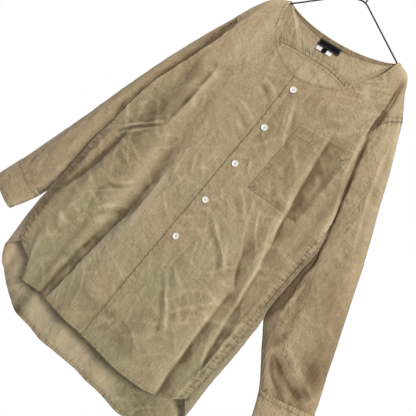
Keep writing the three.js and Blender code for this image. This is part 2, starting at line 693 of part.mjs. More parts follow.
function ringPoints(x, y, radius, count) {
  return Array.from({ length: count }, (_, k) => {
    const angle = 2 * Math.PI * k / count;
    return new THREE.Vector2(x + radius * Math.cos(angle), y + radius * Math.sin(angle));
  });
}

function placeButton(name, radius, point, normal, lift) {
  const button = addMesh(garment, name, buttonGeometry(radius), BUTTON);
  button.position.copy(point).addScaledVector(normal, lift);
  button.position.z += NECK_Z;
  button.quaternion.setFromUnitVectors(new THREE.Vector3(0, 0, 1), normal);
}

const placketMid = PLACKET_WIDTH / 2;
BUTTON_Z.forEach((z, k) => {
  const edgeRow = locate(frontOfLeft, flatColumns, -10, z, EDGE_STATION, HEM_STATION)[1];
  const start = onGrid(frontOfLeft, flatColumns, 0, edgeRow).point;
  const [across, row] = locate(frontOfLeft, flatColumns, start.x + placketMid, z, EDGE_STATION, HEM_STATION);
  const { point, normal } = onGrid(frontOfLeft, flatColumns, across, row);
  placeButton(`button_${k + 1}`, BUTTON_RADIUS, point, normal, overPanel + WALL / 2 + LAYER_GAP);
});

for (const [cuff, side] of [[cuffLeft, 'left'], [cuffRight, 'right']]) {
  const j = AROUND.findIndex(({ around, isBack }) => isBack && around === 2.5);
  placeButton(`cuff_button_${side}`, CUFF_BUTTON_RADIUS, cuff.points[1][j], cuff.normals[1][j],
    WALL / 2 + LAYER_GAP);
}

// ---- Hanger ----

const wasm = await Module();
wasm.setup();

function toSolid(geometry) {
  geometry.deleteAttribute('normal');
  geometry.deleteAttribute('uv');
  const merged = mergeVertices(geometry, 1e-4);
  return new wasm.Manifold(new wasm.Mesh({
    numProp: 3,
    vertProperties: merged.attributes.position.array,
    triVerts: new Uint32Array(merged.index.array),
  }));
}

function toGeometry(solid) {
  const mesh = solid.getMesh();
  const geometry = new THREE.BufferGeometry();
  geometry.setAttribute('position', new THREE.BufferAttribute(mesh.vertProperties, 3));
  geometry.setIndex(new THREE.BufferAttribute(mesh.triVerts, 1));
  return geometry;
}

function wireAlong(path, steps) {
  const section = new THREE.Shape();
  section.absarc(0, 0, WIRE_RADIUS, 0, 2 * Math.PI, false);
  const options = { steps, curveSegments: 3, bevelEnabled: false, extrudePath: path };
  return new THREE.ExtrudeGeometry(section, options);
}

// The arms run from a rounded apex to the tips, which turn down. The wearer's right arm is bent up.
function armsPath() {
  const slope = (x) => {
    const neckPoint = x > 0 ? FRONT_LEFT[0] : FRONT_RIGHT[0];
    return (APEX_Z - neckPoint.edgeZ + WIRE_DROP + 1) / neckPoint.edgeX;
  };
  const on = (x) => new THREE.Vector3(x, 0, NECK_Z + APEX_Z - slope(x) * Math.abs(x));
  const path = new THREE.CurvePath();
  const bend = 7;
  const end = (side) => new THREE.Vector3(side * (HANGER_TIP_X + 2), 0, on(HANGER_TIP_X).z - 15);
  const corner = (side) => on(side * HANGER_TIP_X);
  const before = (side) => on(side * (HANGER_TIP_X - bend));
  path.add(new THREE.QuadraticBezierCurve3(end(-1), corner(-1), before(-1)));
  const raised = (x, rise) => on(x).add(new THREE.Vector3(0, 0, rise));
  path.add(new THREE.LineCurve3(before(-1), on(-113)));
  path.add(new THREE.CubicBezierCurve3(on(-113), raised(-88, 3), raised(-40, 22), raised(-12, 6)));
  path.add(new THREE.QuadraticBezierCurve3(raised(-12, 6), raised(-3, 3), on(bend)));
  path.add(new THREE.LineCurve3(on(bend), before(1)));
  path.add(new THREE.QuadraticBezierCurve3(before(1), corner(1), end(1)));
  return path;
}

// The hook: an open round over the rail, then a stem down to the apex.
function hookPath() {
  const centreZ = WIRE_RADIUS - HOOK_RADIUS;
  const around = (angle) => new THREE.Vector3(HOOK_RADIUS * Math.cos(angle), 0,
    centreZ + HOOK_RADIUS * Math.sin(angle));
  const points = [];
  const firstAngle = Math.PI * 1.08;
  const lastAngle = -Math.PI * 0.3;
  const count = 12;
  for (let k = 0; k <= count; k += 1) points.push(around(mix(firstAngle, lastAngle, k / count)));
  points.push(new THREE.Vector3(1.2, 0, centreZ - HOOK_RADIUS - 9));
  points.push(new THREE.Vector3(0, 0, centreZ - HOOK_RADIUS - 22));
  points.push(new THREE.Vector3(0, 0, NECK_Z + APEX_Z - 3));
  return new THREE.CatmullRomCurve3(points, false, 'centripetal');
}

const arms = toSolid(wireAlong(armsPath(), 44));
const hook = toSolid(wireAlong(hookPath(), 26));
addMesh(garment, 'hanger', facingOut(toGeometry(arms.add(hook))), WIRE);

export default garment;
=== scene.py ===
import itertools
import math

import bmesh
import bpy
import numpy as np
from mathutils import Matrix, Vector


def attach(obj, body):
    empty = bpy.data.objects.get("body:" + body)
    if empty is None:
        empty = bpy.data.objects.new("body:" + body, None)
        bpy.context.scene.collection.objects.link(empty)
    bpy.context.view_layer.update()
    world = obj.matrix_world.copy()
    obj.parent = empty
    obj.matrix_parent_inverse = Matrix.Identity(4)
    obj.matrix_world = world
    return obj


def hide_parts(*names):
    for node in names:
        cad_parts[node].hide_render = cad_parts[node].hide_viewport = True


bl_info = {
    "name": "Collarless Shirt on a Wire Hanger",
    "version": (1, 0, 0),
    "blender": (4, 5, 0),
    "location": "View3D > Sidebar > Shirt",
    "description": "Makes the cloth, sewing, buttons and wire hanger of a collarless shirt",
    "category": "Object",
}

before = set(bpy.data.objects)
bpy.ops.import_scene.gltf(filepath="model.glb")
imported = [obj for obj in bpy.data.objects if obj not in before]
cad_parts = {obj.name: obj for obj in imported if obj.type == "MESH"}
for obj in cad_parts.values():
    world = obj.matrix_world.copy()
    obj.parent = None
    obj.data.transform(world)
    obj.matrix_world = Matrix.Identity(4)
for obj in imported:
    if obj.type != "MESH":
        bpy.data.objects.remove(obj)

# Tables and folds are in millimetres, heights from the neck points; everything else is in metres.
MM = 0.001
NECK_Z = -147
APEX_Z = 69
BODY = "root"

YOKE_STATION, EDGE_STATION, UNDERARM_STATION, HEM_STATION = 3, 6, 7, 12
# Share of the way to the fold that the neck takes up, and how far the right tail sags, in mm.
NECK_PART = 0.36
TAIL_SAG = 8


# ---- Tables of the cut, down the garment: 0 shoulder, 3 yoke seam, 7 underarm, 12 hem ----

def table(columns, rows):
    """Named columns of numbers, one row for each station, fold or seam."""
    return dict(zip(columns.split(), np.array(rows, float).T))


FRONT_COLUMNS = "edgeX edgeY edgeZ foldX foldY foldZ turnX turnY seamX seamY seamZ"

FRONT_LEFT = table(FRONT_COLUMNS, [
    (120, 0, 3, 138, 0, -5, 165, 0, 190, 0, -86),
    (113, -8, -30, 147, -13, -50, 162, -12, 179, -8, -96),
    (101, -14, -57, 151, -20, -88, 160, -17, 167, -12, -108),
    (80, -19, -87, 154, -26, -130, 160.5, -19, 159, -9, -142),
    (50, -23, -110, 161, -30, -182, 168, -22, 160, -7, -192),
    (15, -25, -123, 177, -31, -238, 184.5, -22, 168, -7, -247),
    (-10, -26, -127, 197, -31, -291, 204, -24, 188, -10, -300),
    (-9, -29, -215, 200, -32, -345, 207, -31, 210, -26, -346),
    (-10, -32, -310, 194, -34, -405, 201, -33, 207, -28, -406),
    (-11, -35, -405, 190, -36, -482, 197, -35, 205, -29, -482),
    (-12.5, -38, -505, 186, -37, -562, 194, -36, 203, -30, -562),
    (-15, -40, -615, 181, -38, -635, 190, -37, 200, -31, -632),
    (-16, -41, -731, 172, -39, -708, 184, -38, 196, -32, -688),
])

FRONT_RIGHT = table(FRONT_COLUMNS, [
    (119, 0, 0, 140, 0, -8, 174, 0, 192, 0, -84),
    (113, -8, -30, 150, -13, -52, 165, -12, 181, -7, -93),
    (101, -14, -57, 161, -19, -92, 171, -17, 173, -10, -108),
    (80, -19, -87, 172, -25, -128, 179, -19, 169, -8, -142),
    (50, -22, -110, 186, -28, -176, 193, -20, 178, -6, -194),
    (15, -22, -123, 209, -30, -236, 215, -21, 197, -7, -250),
    (-22, -23.4, -126, 230, -30, -298, 236, -22, 217, -9, -309),
    (-23, -26.4, -215, 240.5, -30, -368, 246.5, -24, 243, -17, -372),
    (-22, -29.4, -310, 238, -32, -432, 246, -31, 253, -28, -436),
    (-21, -32.4, -405, 232, -34, -504, 242, -34, 255, -31, -505),
    (-19.5, -35.4, -505, 227, -36, -570, 241, -36, 255, -33, -572),
    (-17, -37.6, -615, 207, -38, -652, 228, -38, 251, -34, -636),
    (-16, -39.4, -731, 173, -41, -735, 184, -40, 236, -33, -686),
])

BACK_COLUMNS = "midY midZ foldX foldY foldZ turnX turnY seamX seamY seamZ"

BACK_LEFT = table(BACK_COLUMNS, [
    (11, -19, 150, 0, -13, 173, 0, 190, 0, -86),
    (15, -36, 150, 12, -50, 171, 11, 184, 8, -108),
    (18, -53, 150, 20, -90, 170, 17, 177, 12, -132),
    (22, -64, 150, 25, -128, 170, 21, 172, 14, -160),
    (25, -125, 160, 28, -175, 172, 23, 168, 14, -200),
    (27, -190, 162, 29, -232, 171, 22, 172, 11, -250),
    (28, -262, 172, 28, -292, 186, 17, 188, 3, -302),
    (29, -340, 193, 24, -345, 212, 5, 204, -17, -346),
    (30, -415, 203, 25, -410, 214.5, 4, 208, -19, -406),
    (31, -500, 202, 27, -485, 211.5, 3, 206, -20, -482),
    (32, -590, 203, 28, -570, 212, 3, 204, -21, -562),
    (27, -695, 202, 25, -660, 211, 3, 201, -22, -632),
    (25, -808, 196, 24, -765, 210, 3, 197, -24, -688),
])

BACK_RIGHT = table(BACK_COLUMNS, [
    (11, -19, 150, 0, -14, 175, 0, 192, 0, -84),
    (15, -36, 151, 12, -50, 172, 11, 186, 8, -106),
    (18, -53, 152, 20, -90, 173, 17, 181, 12, -130),
    (22, -64, 154, 25, -126, 175, 21, 178, 14, -158),
    (25, -125, 170, 28, -172, 184, 23, 180, 14, -200),
    (27, -190, 186, 29, -236, 195, 22, 196, 11, -252),
    (28, -262, 202, 28, -300, 212, 17, 217, 3, -311),
    (29, -340, 226, 24, -368, 239, 5, 243, -17, -372),
    (30, -415, 243, 25, -435, 253, 4, 251, -20, -436),
    (31, -500, 256, 27, -505, 266, 3, 253, -21, -505),
    (32, -590, 266, 28, -575, 277, 2, 252, -22, -572),
    (27, -695, 270, 23, -650, 280, 0, 246, -24, -636),
    (25, -808, 262, 23, -768, 278, 0, 236, -26, -686),
])

# Row 0 is the armhole, the last row but one the cuff seam and the last the cuff's end.
SLEEVE_COLUMNS = "outerX outerY outerZ innerX innerY innerZ front back"

SLEEVE_LEFT = table(SLEEVE_COLUMNS, [
    (190, 0, -86, 207, -20, -346, 8, 14),
    (223, 0, -162, 209, -5, -370, 10, 17),
    (252, 0, -238, 211, -2, -408, 18, 23),
    (286, 0, -325, 208, -1, -450, 23, 25),
    (317, 0, -412, 209, 0, -492, 24, 24),
    (347, 0, -500, 242, 2, -545, 20, 20),
    (373, 0, -574, 281, 2, -601, 14, 14),
    (387, 0, -634, 304, 2, -657, 13, 13),
])

SLEEVE_RIGHT = table(SLEEVE_COLUMNS, [
    (192, 0, -84, 243, -17, -372, 8, 14),
    (225, 3, -150, 257, -4, -394, 9, 17),
    (253, 6, -220, 266, 0, -424, 20, 23),
    (283.5, 9, -304, 273, 2, -460, 25, 25),
    (312.5, 11, -388, 276, 4, -500, 26, 26),
    (343, 12, -470, 279.5, 4, -550, 22, 22),
    (382, 12, -576, 294, 5, -604, 14, 14),
    (406, 12, -634, 329, 5, -664, 13, 13),
])

# Large folds, as in the solids: soft troughs, or ridges where the depth is negative.
FOLD_COLUMNS = "x0 z0 x1 z1 width depth"

FRONT_FOLDS = table(FOLD_COLUMNS, [
    (-124, -200, -110, -400, 20, 4),
    (-108, -400, -103, -520, 18, 8),
    (-112, -530, -134, -740, 18, 10),
    (-190, -420, -200, -690, 22, -5),
    (-62, -480, -60, -735, 30, -6),
    (138, -190, 158, -400, 18, 5),
    (128, -430, 146, -500, 18, 6),
    (156, -520, 164, -735, 18, 4),
    (174, -450, 190, -640, 12, 3),
    (60, -560, 70, -735, 30, -5),
])

BACK_FOLDS = table(FOLD_COLUMNS, [
    (-150, -240, -175, -800, 26, -9),
    (-70, -260, -95, -815, 24, -7),
    (10, -120, 20, -815, 22, -6),
    (95, -230, 110, -815, 26, -9),
])

# Creases that only the cloth shows. A positive depth stands out; bow bends the line sideways.
CREASE_COLUMNS = "x0 z0 x1 z1 width depth bow"

FRONT_CREASES = table(CREASE_COLUMNS, [
    # drag lines from the right underarm up to the chest
    (-226, -398, -154, -334, 2.6, 3.0, -2),
    (-222, -402, -156, -343, 3.2, -3.2, -2),
    (-214, -404, -160, -350, 2.6, 2.4, 1),
    (-232, -345, -206, -318, 3.4, 1.2, 2),
    (-226, -372, -196, -336, 3.4, 1.2, -2),
    # beside the head of the right chest fold
    (-128, -250, -116, -285, 3.2, 1.8, -2),
    (-146, -272, -122, -284, 3.2, 1.2, -2),
    (-138, -258, -126, -312, 3.2, 1.0, 2),
    (-140, -340, -118, -384, 3.4, 1.2, 2),
    (-150, -366, -108, -340, 3.4, 1.0, -3),
    # short creases that run into the placket beside the upper buttons
    (-62, -158, -8, -184, 3.4, 1.8, -5),
    (-66, -171, -12, -196, 5, -1.5, -4),
    (-66, -220, -6, -246, 3.4, 1.8, -4),
    (-70, -236, -14, -258, 5, -1.5, -3),
    (-52, -262, -10, -292, 3.4, 1.4, 3),
    (-48, -252, -12, -272, 3.4, 1.2, 2),
    (-44, -330, -12, -352, 3.4, 1.2, -3),
    (-70, -312, -38, -402, 3.8, 1.5, 5),
    (-58, -330, -22, -380, 3.4, 1.1, 3),
    # from the upper buttons down to the pocket
    (22, -165, 58, -250, 3.4, 1.8, 4),
    (30, -165, 66, -246, 5, -1.6, 4),
    (20, -188, 44, -232, 3.2, 1.4, 3),
    (20, -254, 43, -277, 3.4, 1.4, -2),
    (24, -300, 52, -330, 3.4, 1.3, 3),
    (16, -268, 30, -312, 3.2, 1.2, 2),
    # below the pocket
    (38, -350, 84, -387, 3.6, 2.0, -3),
    (30, -360, 78, -398, 6, -1.8, -3),
    (92, -352, 120, -408, 3.4, 1.6, 2),
    (70, -352, 98, -372, 3.2, 1.2, 2),
    # fans out from the lowest buttons
    (18, -412, 118, -486, 3.6, 2.4, -6),
    (20, -424, 112, -494, 7, -2.2, -6),
    (26, -404, 92, -420, 3.2, 1.4, 3),
    (84, -438, 114, -475, 3.2, 1.8, 2),
    (60, -440, 76, -498, 3.2, 1.3, 2),
    (20, -452, 58, -470, 3.2, 1.2, -2),
    (44, -470, 66, -520, 3.2, 1.3, 2),
    (36, -528, 104, -562, 3.4, 1.8, 3),
    (38, -550, 104, -634, 3.6, 2.4, -3),
    (30, -556, 94, -638, 6, -2.0, -3),
    (22, -498, 100, -512, 3.4, 1.5, 3),
    (28, -540, 34, -478, 3.2, 1.2, 2),
    (60, -520, 130, -530, 3.2, 1.3, -3),
    (20, -584, 34, -660, 4, 1.4, 3),
    (118, -560, 82, -600, 3.2, 1.2, 3),
    (96, -490, 108, -548, 3.2, 1.2, -2),
    # right half, low
    (-168, -488, -128, -460, 3.6, 2.4, 5),
    (-165, -496, -128, -468, 5, -2.0, 5),
    (-162, -490, -170, -548, 6, -1.8, 4),
    (-152, -540, -108, -506, 4, 2.2, -3),
    (-146, -552, -104, -516, 6, -2.0, -3),
    (-92, -520, -108, -560, 3.2, 2.0, 2),
    (-208, -590, -176, -598, 7, 2.6, 4),
    (-206, -612, -176, -620, 7, -2.2, 4),
    (-206, -500, -190, -512, 5, 1.8, 3),
    (-196, -420, -150, -440, 4, 1.4, 3),
    (-60, -600, -20, -606, 10, 2.0, -6),
    (-70, -430, -28, -470, 3.4, 1.4, 3),
    (-84, -360, -60, -440, 3.6, 1.3, 3),
    (-204, -396, -234, -552, 6, -6.0, -3),
    (-232, -420, -240, -560, 5, 2.0, 2),
    (-118, -545, -136, -742, 4, -3.0, 3),
    (-98, -400, -104, -520, 4, -2.0, 2),
    # near the hem
    (-92, -668, 52, -662, 14, -2.6, 8),
    (-30, -626, -8, -640, 5, 1.6, 2),
    (150, -400, 176, -560, 4, 2.2, 4),
    (172, -505, 186, -520, 3.4, 1.6, 2),
    (184, -500, 196, -580, 3.4, 1.4, 2),
])

# Creases of the sleeves' fronts, then of the backs of the sleeves and of the body.
SLEEVE_CREASES = table(CREASE_COLUMNS, [
    # wearer's left, from the shoulder to the cuff
    (200, -141, 262, -322, 3.6, 2.6, 5),
    (210, -150, 272, -330, 8, -2.0, 5),
    (161, -146, 186, -242, 4, -7.0, 1),
    (181, -226, 214, -352, 4, -7.0, -1),
    (212, -330, 221, -420, 4.5, -7.0, -1),
    (218, -404, 220, -478, 6, -6.0, -1),
    (230, -390, 226, -480, 6, -4.0, 3),
    (236, -396, 244, -500, 4, -2.2, 4),
    (228, -240, 268, -232, 5, 0.8, 3),
    (252, -455, 278, -450, 4, 1.0, 2),
    (262, -486, 259, -530, 6, -2.0, 4),
    (262, -534, 336, -566, 12, -6.0, 6),
    (258, -540, 300, -578, 6, -4.0, 4),
    (270, -508, 350, -545, 13, 4.0, 5),
    (236, -380, 250, -470, 8, -1.6, 5),
    (300, -400, 345, -520, 7, 1.2, 5),
    (232, -330, 262, -348, 5, 0.9, 3),
    (225, -420, 262, -508, 8, -2.0, -6),
    # wearer's right
    (-178, -104, -247, -296, 6, -4.5, 1),
    (-247, -290, -262, -410, 6, -4.0, 2),
    (-252, -440, -300, -560, 8, -1.8, 5),
    (-300, -420, -340, -520, 7, 1.6, -4),
    (-322, -470, -352, -545, 8, -1.8, 4),
    (-330, -530, -318, -572, 6, 1.6, 3),
    (-352, -540, -344, -580, 7, -1.6, 3),
    (-262, -330, -290, -420, 8, 1.2, 4),
    (-240, -300, -262, -360, 7, -1.4, 3),
])

SLEEVE_BACK_CREASES = table(CREASE_COLUMNS, [
    (214, -170, 262, -330, 7, 1.6, 6),
    (240, -300, 300, -430, 9, -2.0, -6),
    (286, -430, 330, -560, 8, 1.8, 5),
    (262, -505, 340, -560, 12, -4.0, 6),
    (252, -420, 284, -520, 7, 1.4, -4),
    (-222, -170, -262, -330, 8, 1.6, 5),
    (-262, -330, -300, -450, 9, -2.0, 5),
    (-300, -470, -350, -575, 8, 1.8, -5),
    (-300, -560, -366, -566, 12, -3.0, 5),
    (-330, -430, -352, -520, 6, 1.2, 4),
])

BACK_CREASES = table(CREASE_COLUMNS, [
    (6, -96, 44, -128, 3, 1.8, 3),
    (14, -92, 60, -118, 3.4, -1.8, 4),
    (-60, -100, -16, -124, 3, 1.6, -3),
    (-44, -92, -58, -126, 3, -1.6, 2),
    (64, -96, 84, -104, 3, 1.4, 1),
    (-30, -80, -42, -210, 8, -2.0, 3),
    (-34, -78, -48, -190, 4, 1.2, 3),
    (48, -84, 60, -230, 9, -2.0, -4),
    (10, -90, 14, -260, 7, 1.4, 2),
    (-200, -300, -120, -240, 5, 1.6, 4),
    (-196, -312, -110, -256, 8, -1.6, 4),
    (170, -290, 110, -236, 5, 1.5, -4),
    (172, -304, 100, -250, 8, -1.5, -4),
    (-170, -420, -60, -500, 5, 1.3, 6),
    (30, -380, 110, -470, 5, 1.2, -6),
    (-120, -600, -40, -640, 6, 1.4, 5),
    (60, -560, 140, -650, 6, 1.4, 5),
    (-30, -500, 20, -620, 5, 1.0, 4),
    (-180, -690, -120, -760, 8, -1.8, 4),
    (130, -680, 160, -760, 8, -1.8, 4),
    (-60, -720, 40, -735, 10, 1.4, 6),
    (-250, -560, -210, -600, 7, 1.4, 4),
])

POCKET_CREASES = table(CREASE_COLUMNS, [
    (70, -226, 98, -262, 4, 1.1, 3),
    (66, -262, 104, -300, 6, -1.2, -4),
    (84, -240, 78, -300, 4, 0.9, 4),
    (72, -300, 92, -332, 4, 0.9, 3),
    (112, -262, 132, -336, 4, 0.9, 3),
    (136, -250, 150, -300, 5, 1.0, -3),
    (96, -312, 150, -322, 5, 0.8, 4),
])

# Pleats below the hanger's tips, which run on over the turn of the cloth.
PLEATS = table(CREASE_COLUMNS, [
    (145, -22, 161, -152, 3.2, -3.6, -4),
    (150, -22, 165, -150, 3.0, -3.4, -4),
    (148, -24, 163, -148, 2.4, 1.6, -4),
    (157, -92, 164, -150, 5, -4.0, -1),
    (-150, -30, -178, -120, 4, 1.6, -2),
])

# Folds with one steep side. The sunk side lies to the right of the line's direction.
LEDGES = table(CREASE_COLUMNS, [
    (-146, -190, -154, -336, 24, -6.5, -2),
    (158, -440, 114, -180, 26, -6.0, -3),
    (-94, -410, -95, -524, 22, -4.0, -3),
    (-103, -516, -122, -744, 24, -5.5, 2),
    (150, -498, 118, -430, 14, -3.0, -4),
    (156, -746, 146, -505, 16, -6.0, -2),
    (190, -655, 160, -425, 11, -4.5, -4),
])


# Painted shading: painted shade where the amount is positive and painted light where it is
# negative, down the folds, in cast shadows and in patches.
BODY_PAINTED_SHADING = table(FOLD_COLUMNS, [
    (-176, -240, -180, -330, 16, 0.20),
    (-190, -330, -206, -500, 20, 0.22),
    (-180, -370, -184, -430, 10, 0.12),
    (-236, -280, -242, -310, 10, 0.34),
    (-250, -490, -246, -620, 12, 0.24),
    (-118, -540, -124, -650, 10, -0.06),
    (213, -395, 210, -480, 6, 0.62),
    (-186, -195, -180, -225, 12, 0.14),
    (238, -235, 246, -275, 14, 0.10),
    (-165, -400, -165, -450, 20, 0.10),
    (-240, -400, -243, -610, 9, 0.20),
    (-112, -40, -130, -190, 22, -0.17),
    (-159, -62, -205, -205, 3, -0.16),
    (-206, -205, -245, -345, 3, -0.14),
    (-205, -398, -236, -552, 6, 0.22),
    (-244, -372, -246, -400, 6, -0.10),
    (-128, -186, -146, -190, 6, 0.20),
    (-150, -590, -153, -735, 10, 0.16),
    (-118, -520, -136, -738, 8, 0.05),
    (151, -34, 158, -110, 6, 0.50),
    (162, -100, 163, -140, 5, 0.40),
    (182, -205, 190, -370, 12, 0.22),
    (210, -388, 208, -478, 5, 0.50),
    (150, -408, 158, -470, 6, -0.06),
    (188, -420, 192, -540, 8, 0.16),
    (40, -150, 100, -160, 16, 0.08),
    (-60, -690, 30, -690, 22, 0.12),
    (-146, -560, -152, -740, 8, 0.12),
    (-90, -420, -88, -520, 10, -0.18),
    (60, -150, 75, -250, 36, 0.08),
    (116, -335, 124, -380, 10, 0.14),
    (58, -540, 62, -590, 16, 0.10),
    (60, -650, 60, -690, 16, 0.12),
    (-92, -560, -96, -640, 12, -0.08),
    (-32, -330, -34, -390, 12, -0.10),
    (155, -600, 158, -725, 8, 0.18),
    (120, -205, 126, -290, 12, 0.12),
    (176, -520, 188, -640, 6, 0.16),
    (118, -425, 126, -480, 12, 0.14),
    (0, -150, 12, -240, 14, 0.17),
    (-150, -150, -146, -205, 8, 0.06),
])

BACK_PAINTED_SHADING = table(FOLD_COLUMNS, [
    (-100, -110, 60, -110, 50, -0.28),
    (-270, -700, -200, -740, 34, -0.18),
    (-160, -776, -50, -790, 26, -0.30),
    (-175, -764, -175, -812, 12, 0.40),
    (-246, -700, -234, -740, 12, -0.34),
    (-140, -768, -108, -800, 14, -0.22),
    (-92, -92, -30, -116, 5, 0.45),
    (-4, -117, 69, -92, 5, 0.35),
    (-20, -785, 90, -790, 18, -0.26),
    (128, -730, 146, -800, 18, 0.26),
    (176, -690, 186, -722, 14, -0.26),
])

SLEEVE_PAINTED_SHADING = table(FOLD_COLUMNS, [
    (-184, -90, -224, -240, 11, 0.50),
    (-224, -240, -252, -350, 8, 0.30),
    (-256, -360, -262, -440, 7, 0.16),
    (-258, -460, -262, -560, 8, 0.10),
    (163, -150, 189, -240, 4, 0.42),
    (189, -240, 209, -318, 4, 0.40),
    (216, -380, 214, -484, 10, 0.80),
    (284, -556, 318, -586, 9, 0.40),
    (-240, -265, -247, -310, 8, 0.22),
    (246, -430, 250, -520, 10, 0.12),
    (228, -480, 244, -520, 9, 0.24),
    (246, -400, 256, -440, 12, 0.12),
    (320, -420, 346, -500, 26, 0.20),
    (330, -530, 348, -612, 16, 0.30),
    (292, -420, 330, -500, 26, 0.12),
    (262, -330, 276, -400, 14, 0.12),
    (256, -390, 290, -500, 26, 0.08),
    (196, -120, 200, -170, 12, -0.06),
])


# ---- Small helpers ----

def smooth(t):
    c = np.clip(t, 0, 1)
    return c * c * (3 - 2 * c)


def mix(a, b, t):
    return a + (b - a) * t


def stretch(*parts):
    """Evenly spaced values through parts given as (first, last, steps), each joined to the next."""
    values = [np.linspace(first, last, steps, endpoint=False) for first, last, steps in parts]
    return np.append(np.concatenate(values), parts[-1][1])


def column(rows, name, station, first=0, last=None):
    """Smooth curve through one column of a table, at each station."""
    values = rows[name]
    last = len(values) - 1 if last is None else last
    i = np.clip(np.floor(station).astype(int), first, last - 1)
    t = station - i
    p1, p2 = values[i], values[i + 1]
    p0 = np.where(i > first, values[np.maximum(i - 1, 0)], 2 * p1 - p2)
    p3 = np.where(i + 2 <= last, values[np.minimum(i + 2, len(values) - 1)], 2 * p2 - p1)
    bend = 2 * p0 - 5 * p1 + 4 * p2 - p3
    twist = 3 * p1 - p0 - 3 * p2 + p3
    return 0.5 * (2 * p1 + (p2 - p0) * t + bend * t ** 2 + twist * t ** 3)


def place(rows, prefix, station, first=0, last=None):
    return np.stack([column(rows, prefix + axis, station, first, last) for axis in "XYZ"], -1)


def length(vectors):
    return np.linalg.norm(vectors, axis=-1, keepdims=True)


def unit(vectors):
    return vectors / np.maximum(length(vectors), 1e-9)


def through_points(points, t):
    """Curve through four points, at t counted in points. Its first stretch is straight."""
    steps = [np.maximum(length(b - a), 1e-6) for a, b in zip(points, points[1:])]
    slopes = [(b - a) / step for a, b, step in zip(points, points[1:], steps)]
    tangents = [slopes[0], slopes[0]]
    for k in range(2, len(points) - 1):
        sides = slopes[k - 1] * steps[k] + slopes[k] * steps[k - 1]
        tangents.append(sides / (steps[k - 1] + steps[k]))
    tangents.append(slopes[-1])
    stretch_now = np.clip(np.floor(t).astype(int), 0, len(points) - 2)[..., None]
    result = np.zeros(np.broadcast(points[0], t[..., None]).shape)
    for k in range(len(points) - 1):
        f = (t - k)[..., None]
        curve = points[k] * (2 * f ** 3 - 3 * f ** 2 + 1)
        curve = curve + points[k + 1] * (3 * f ** 2 - 2 * f ** 3)
        curve = curve + tangents[k] * steps[k] * (f ** 3 - 2 * f ** 2 + f)
        curve = curve + tangents[k + 1] * steps[k] * (f ** 3 - f ** 2)
        result = np.where(stretch_now == k, curve, result)
    return result


def from_line(x, z, x0, z0, x1, z1):
    """Length of a line, then how far (x, z) lies along it and to its right."""
    run = math.hypot(x1 - x0, z1 - z0)
    along = ((x - x0) * (x1 - x0) + (z - z0) * (z1 - z0)) / run
    return run, along, ((x - x0) * (z1 - z0) - (z - z0) * (x1 - x0)) / run


def fold_depth(folds, x, z):
    """Sum of the folds at (x, z), each with soft sides and ends."""
    total = np.zeros(np.shape(x))
    for *line, width, depth in zip(*folds.values()):
        run, along, across = from_line(x, z, *line)
        over = np.maximum(0, np.maximum(-along, along - run)) / (2.2 * width)
        total += depth * np.exp(-(across / width) ** 2 - over ** 2)
    return total


def crease_height(creases, x, z, one_sided=False):
    """Sum of bowed creases at (x, z), each deepest in its middle and fading to its ends. A
    one-sided crease is steep on its left and runs out slowly on its right."""
    total = np.zeros(np.shape(x))
    for x0, z0, x1, z1, width, depth, bow in zip(*creases.values()):
        run, along, across = from_line(x, z, x0, z0, x1, z1)
        share = along / run
        waver = (0.096 if one_sided else 0.24) * min(width, 5)
        across = across - waver * np.sin(0.09 * along + 0.7 * x0 + z0)
        across = across - bow * np.sin(math.pi * np.clip(share, 0, 1))
        fade = np.sin(math.pi * np.clip(0.04 + 0.92 * share, 0, 1)) ** 0.7
        fade = fade * (0.8 + 0.2 * np.sin(0.11 * along + z0))
        if one_sided:
            steep = np.exp(-(np.minimum(across, 0) / 2.6) ** 2)
            total += depth * fade * steep * np.exp(-np.maximum(across, 0) / (0.7 * width))
        else:
            narrow = width * (0.6 + 0.4 * fade + 1e-6)
            total += depth * fade * np.exp(-(np.abs(across) / narrow) ** 1.5)
    return total


def noise(points, size, seed):
    """Smooth noise of about -1 to 1 over points, whose bumps are about size across."""
    scaled = points / size
    cell = np.floor(scaled).astype(np.int64)
    inner = scaled - cell
    weight = inner ** 3 * (inner * (inner * 6 - 15) + 10)
    total = np.zeros(points.shape[:-1])
    for corner in itertools.product((0, 1), repeat=3):
        corner = np.array(corner)
        x, y, z = np.moveaxis(cell + corner, -1, 0)
        mixed = (x * 73856093) ^ (y * 19349663) ^ (z * 83492791) ^ (seed * 40503)
        mixed = (mixed * 2654435761) & 0xFFFFFFFF
        mixed = ((mixed ^ (mixed >> 15)) * 2246822519) & 0xFFFFFFFF
        mixed = mixed ^ (mixed >> 13)
        lean = np.stack([((mixed >> shift) & 1023) / 511.5 - 1 for shift in (0, 10, 20)], -1)
        near = np.prod(np.where(corner, weight, 1 - weight), axis=-1)
        total += near * ((inner - corner) * lean).sum(-1)
    return 1.3 * total


# ---- The garment's middle surface ----

def leave_wire(points, y_at_first, station):
    """Near the shoulder line the cloth leaves the wire steeply."""
    root = y_at_first * np.sqrt(np.clip(station, 0, 1))
    points[..., 1] = np.where(station < 1, root, points[..., 1])
    return points


def turn_place(rows, station, fold, seam, first=0):
    """The turn of the cloth, level with the middle between its fold and its seam."""
    return np.stack([column(rows, "turnX", station, first), column(rows, "turnY", station, first),
                     (fold[..., 2] + seam[..., 2]) / 2], -1)


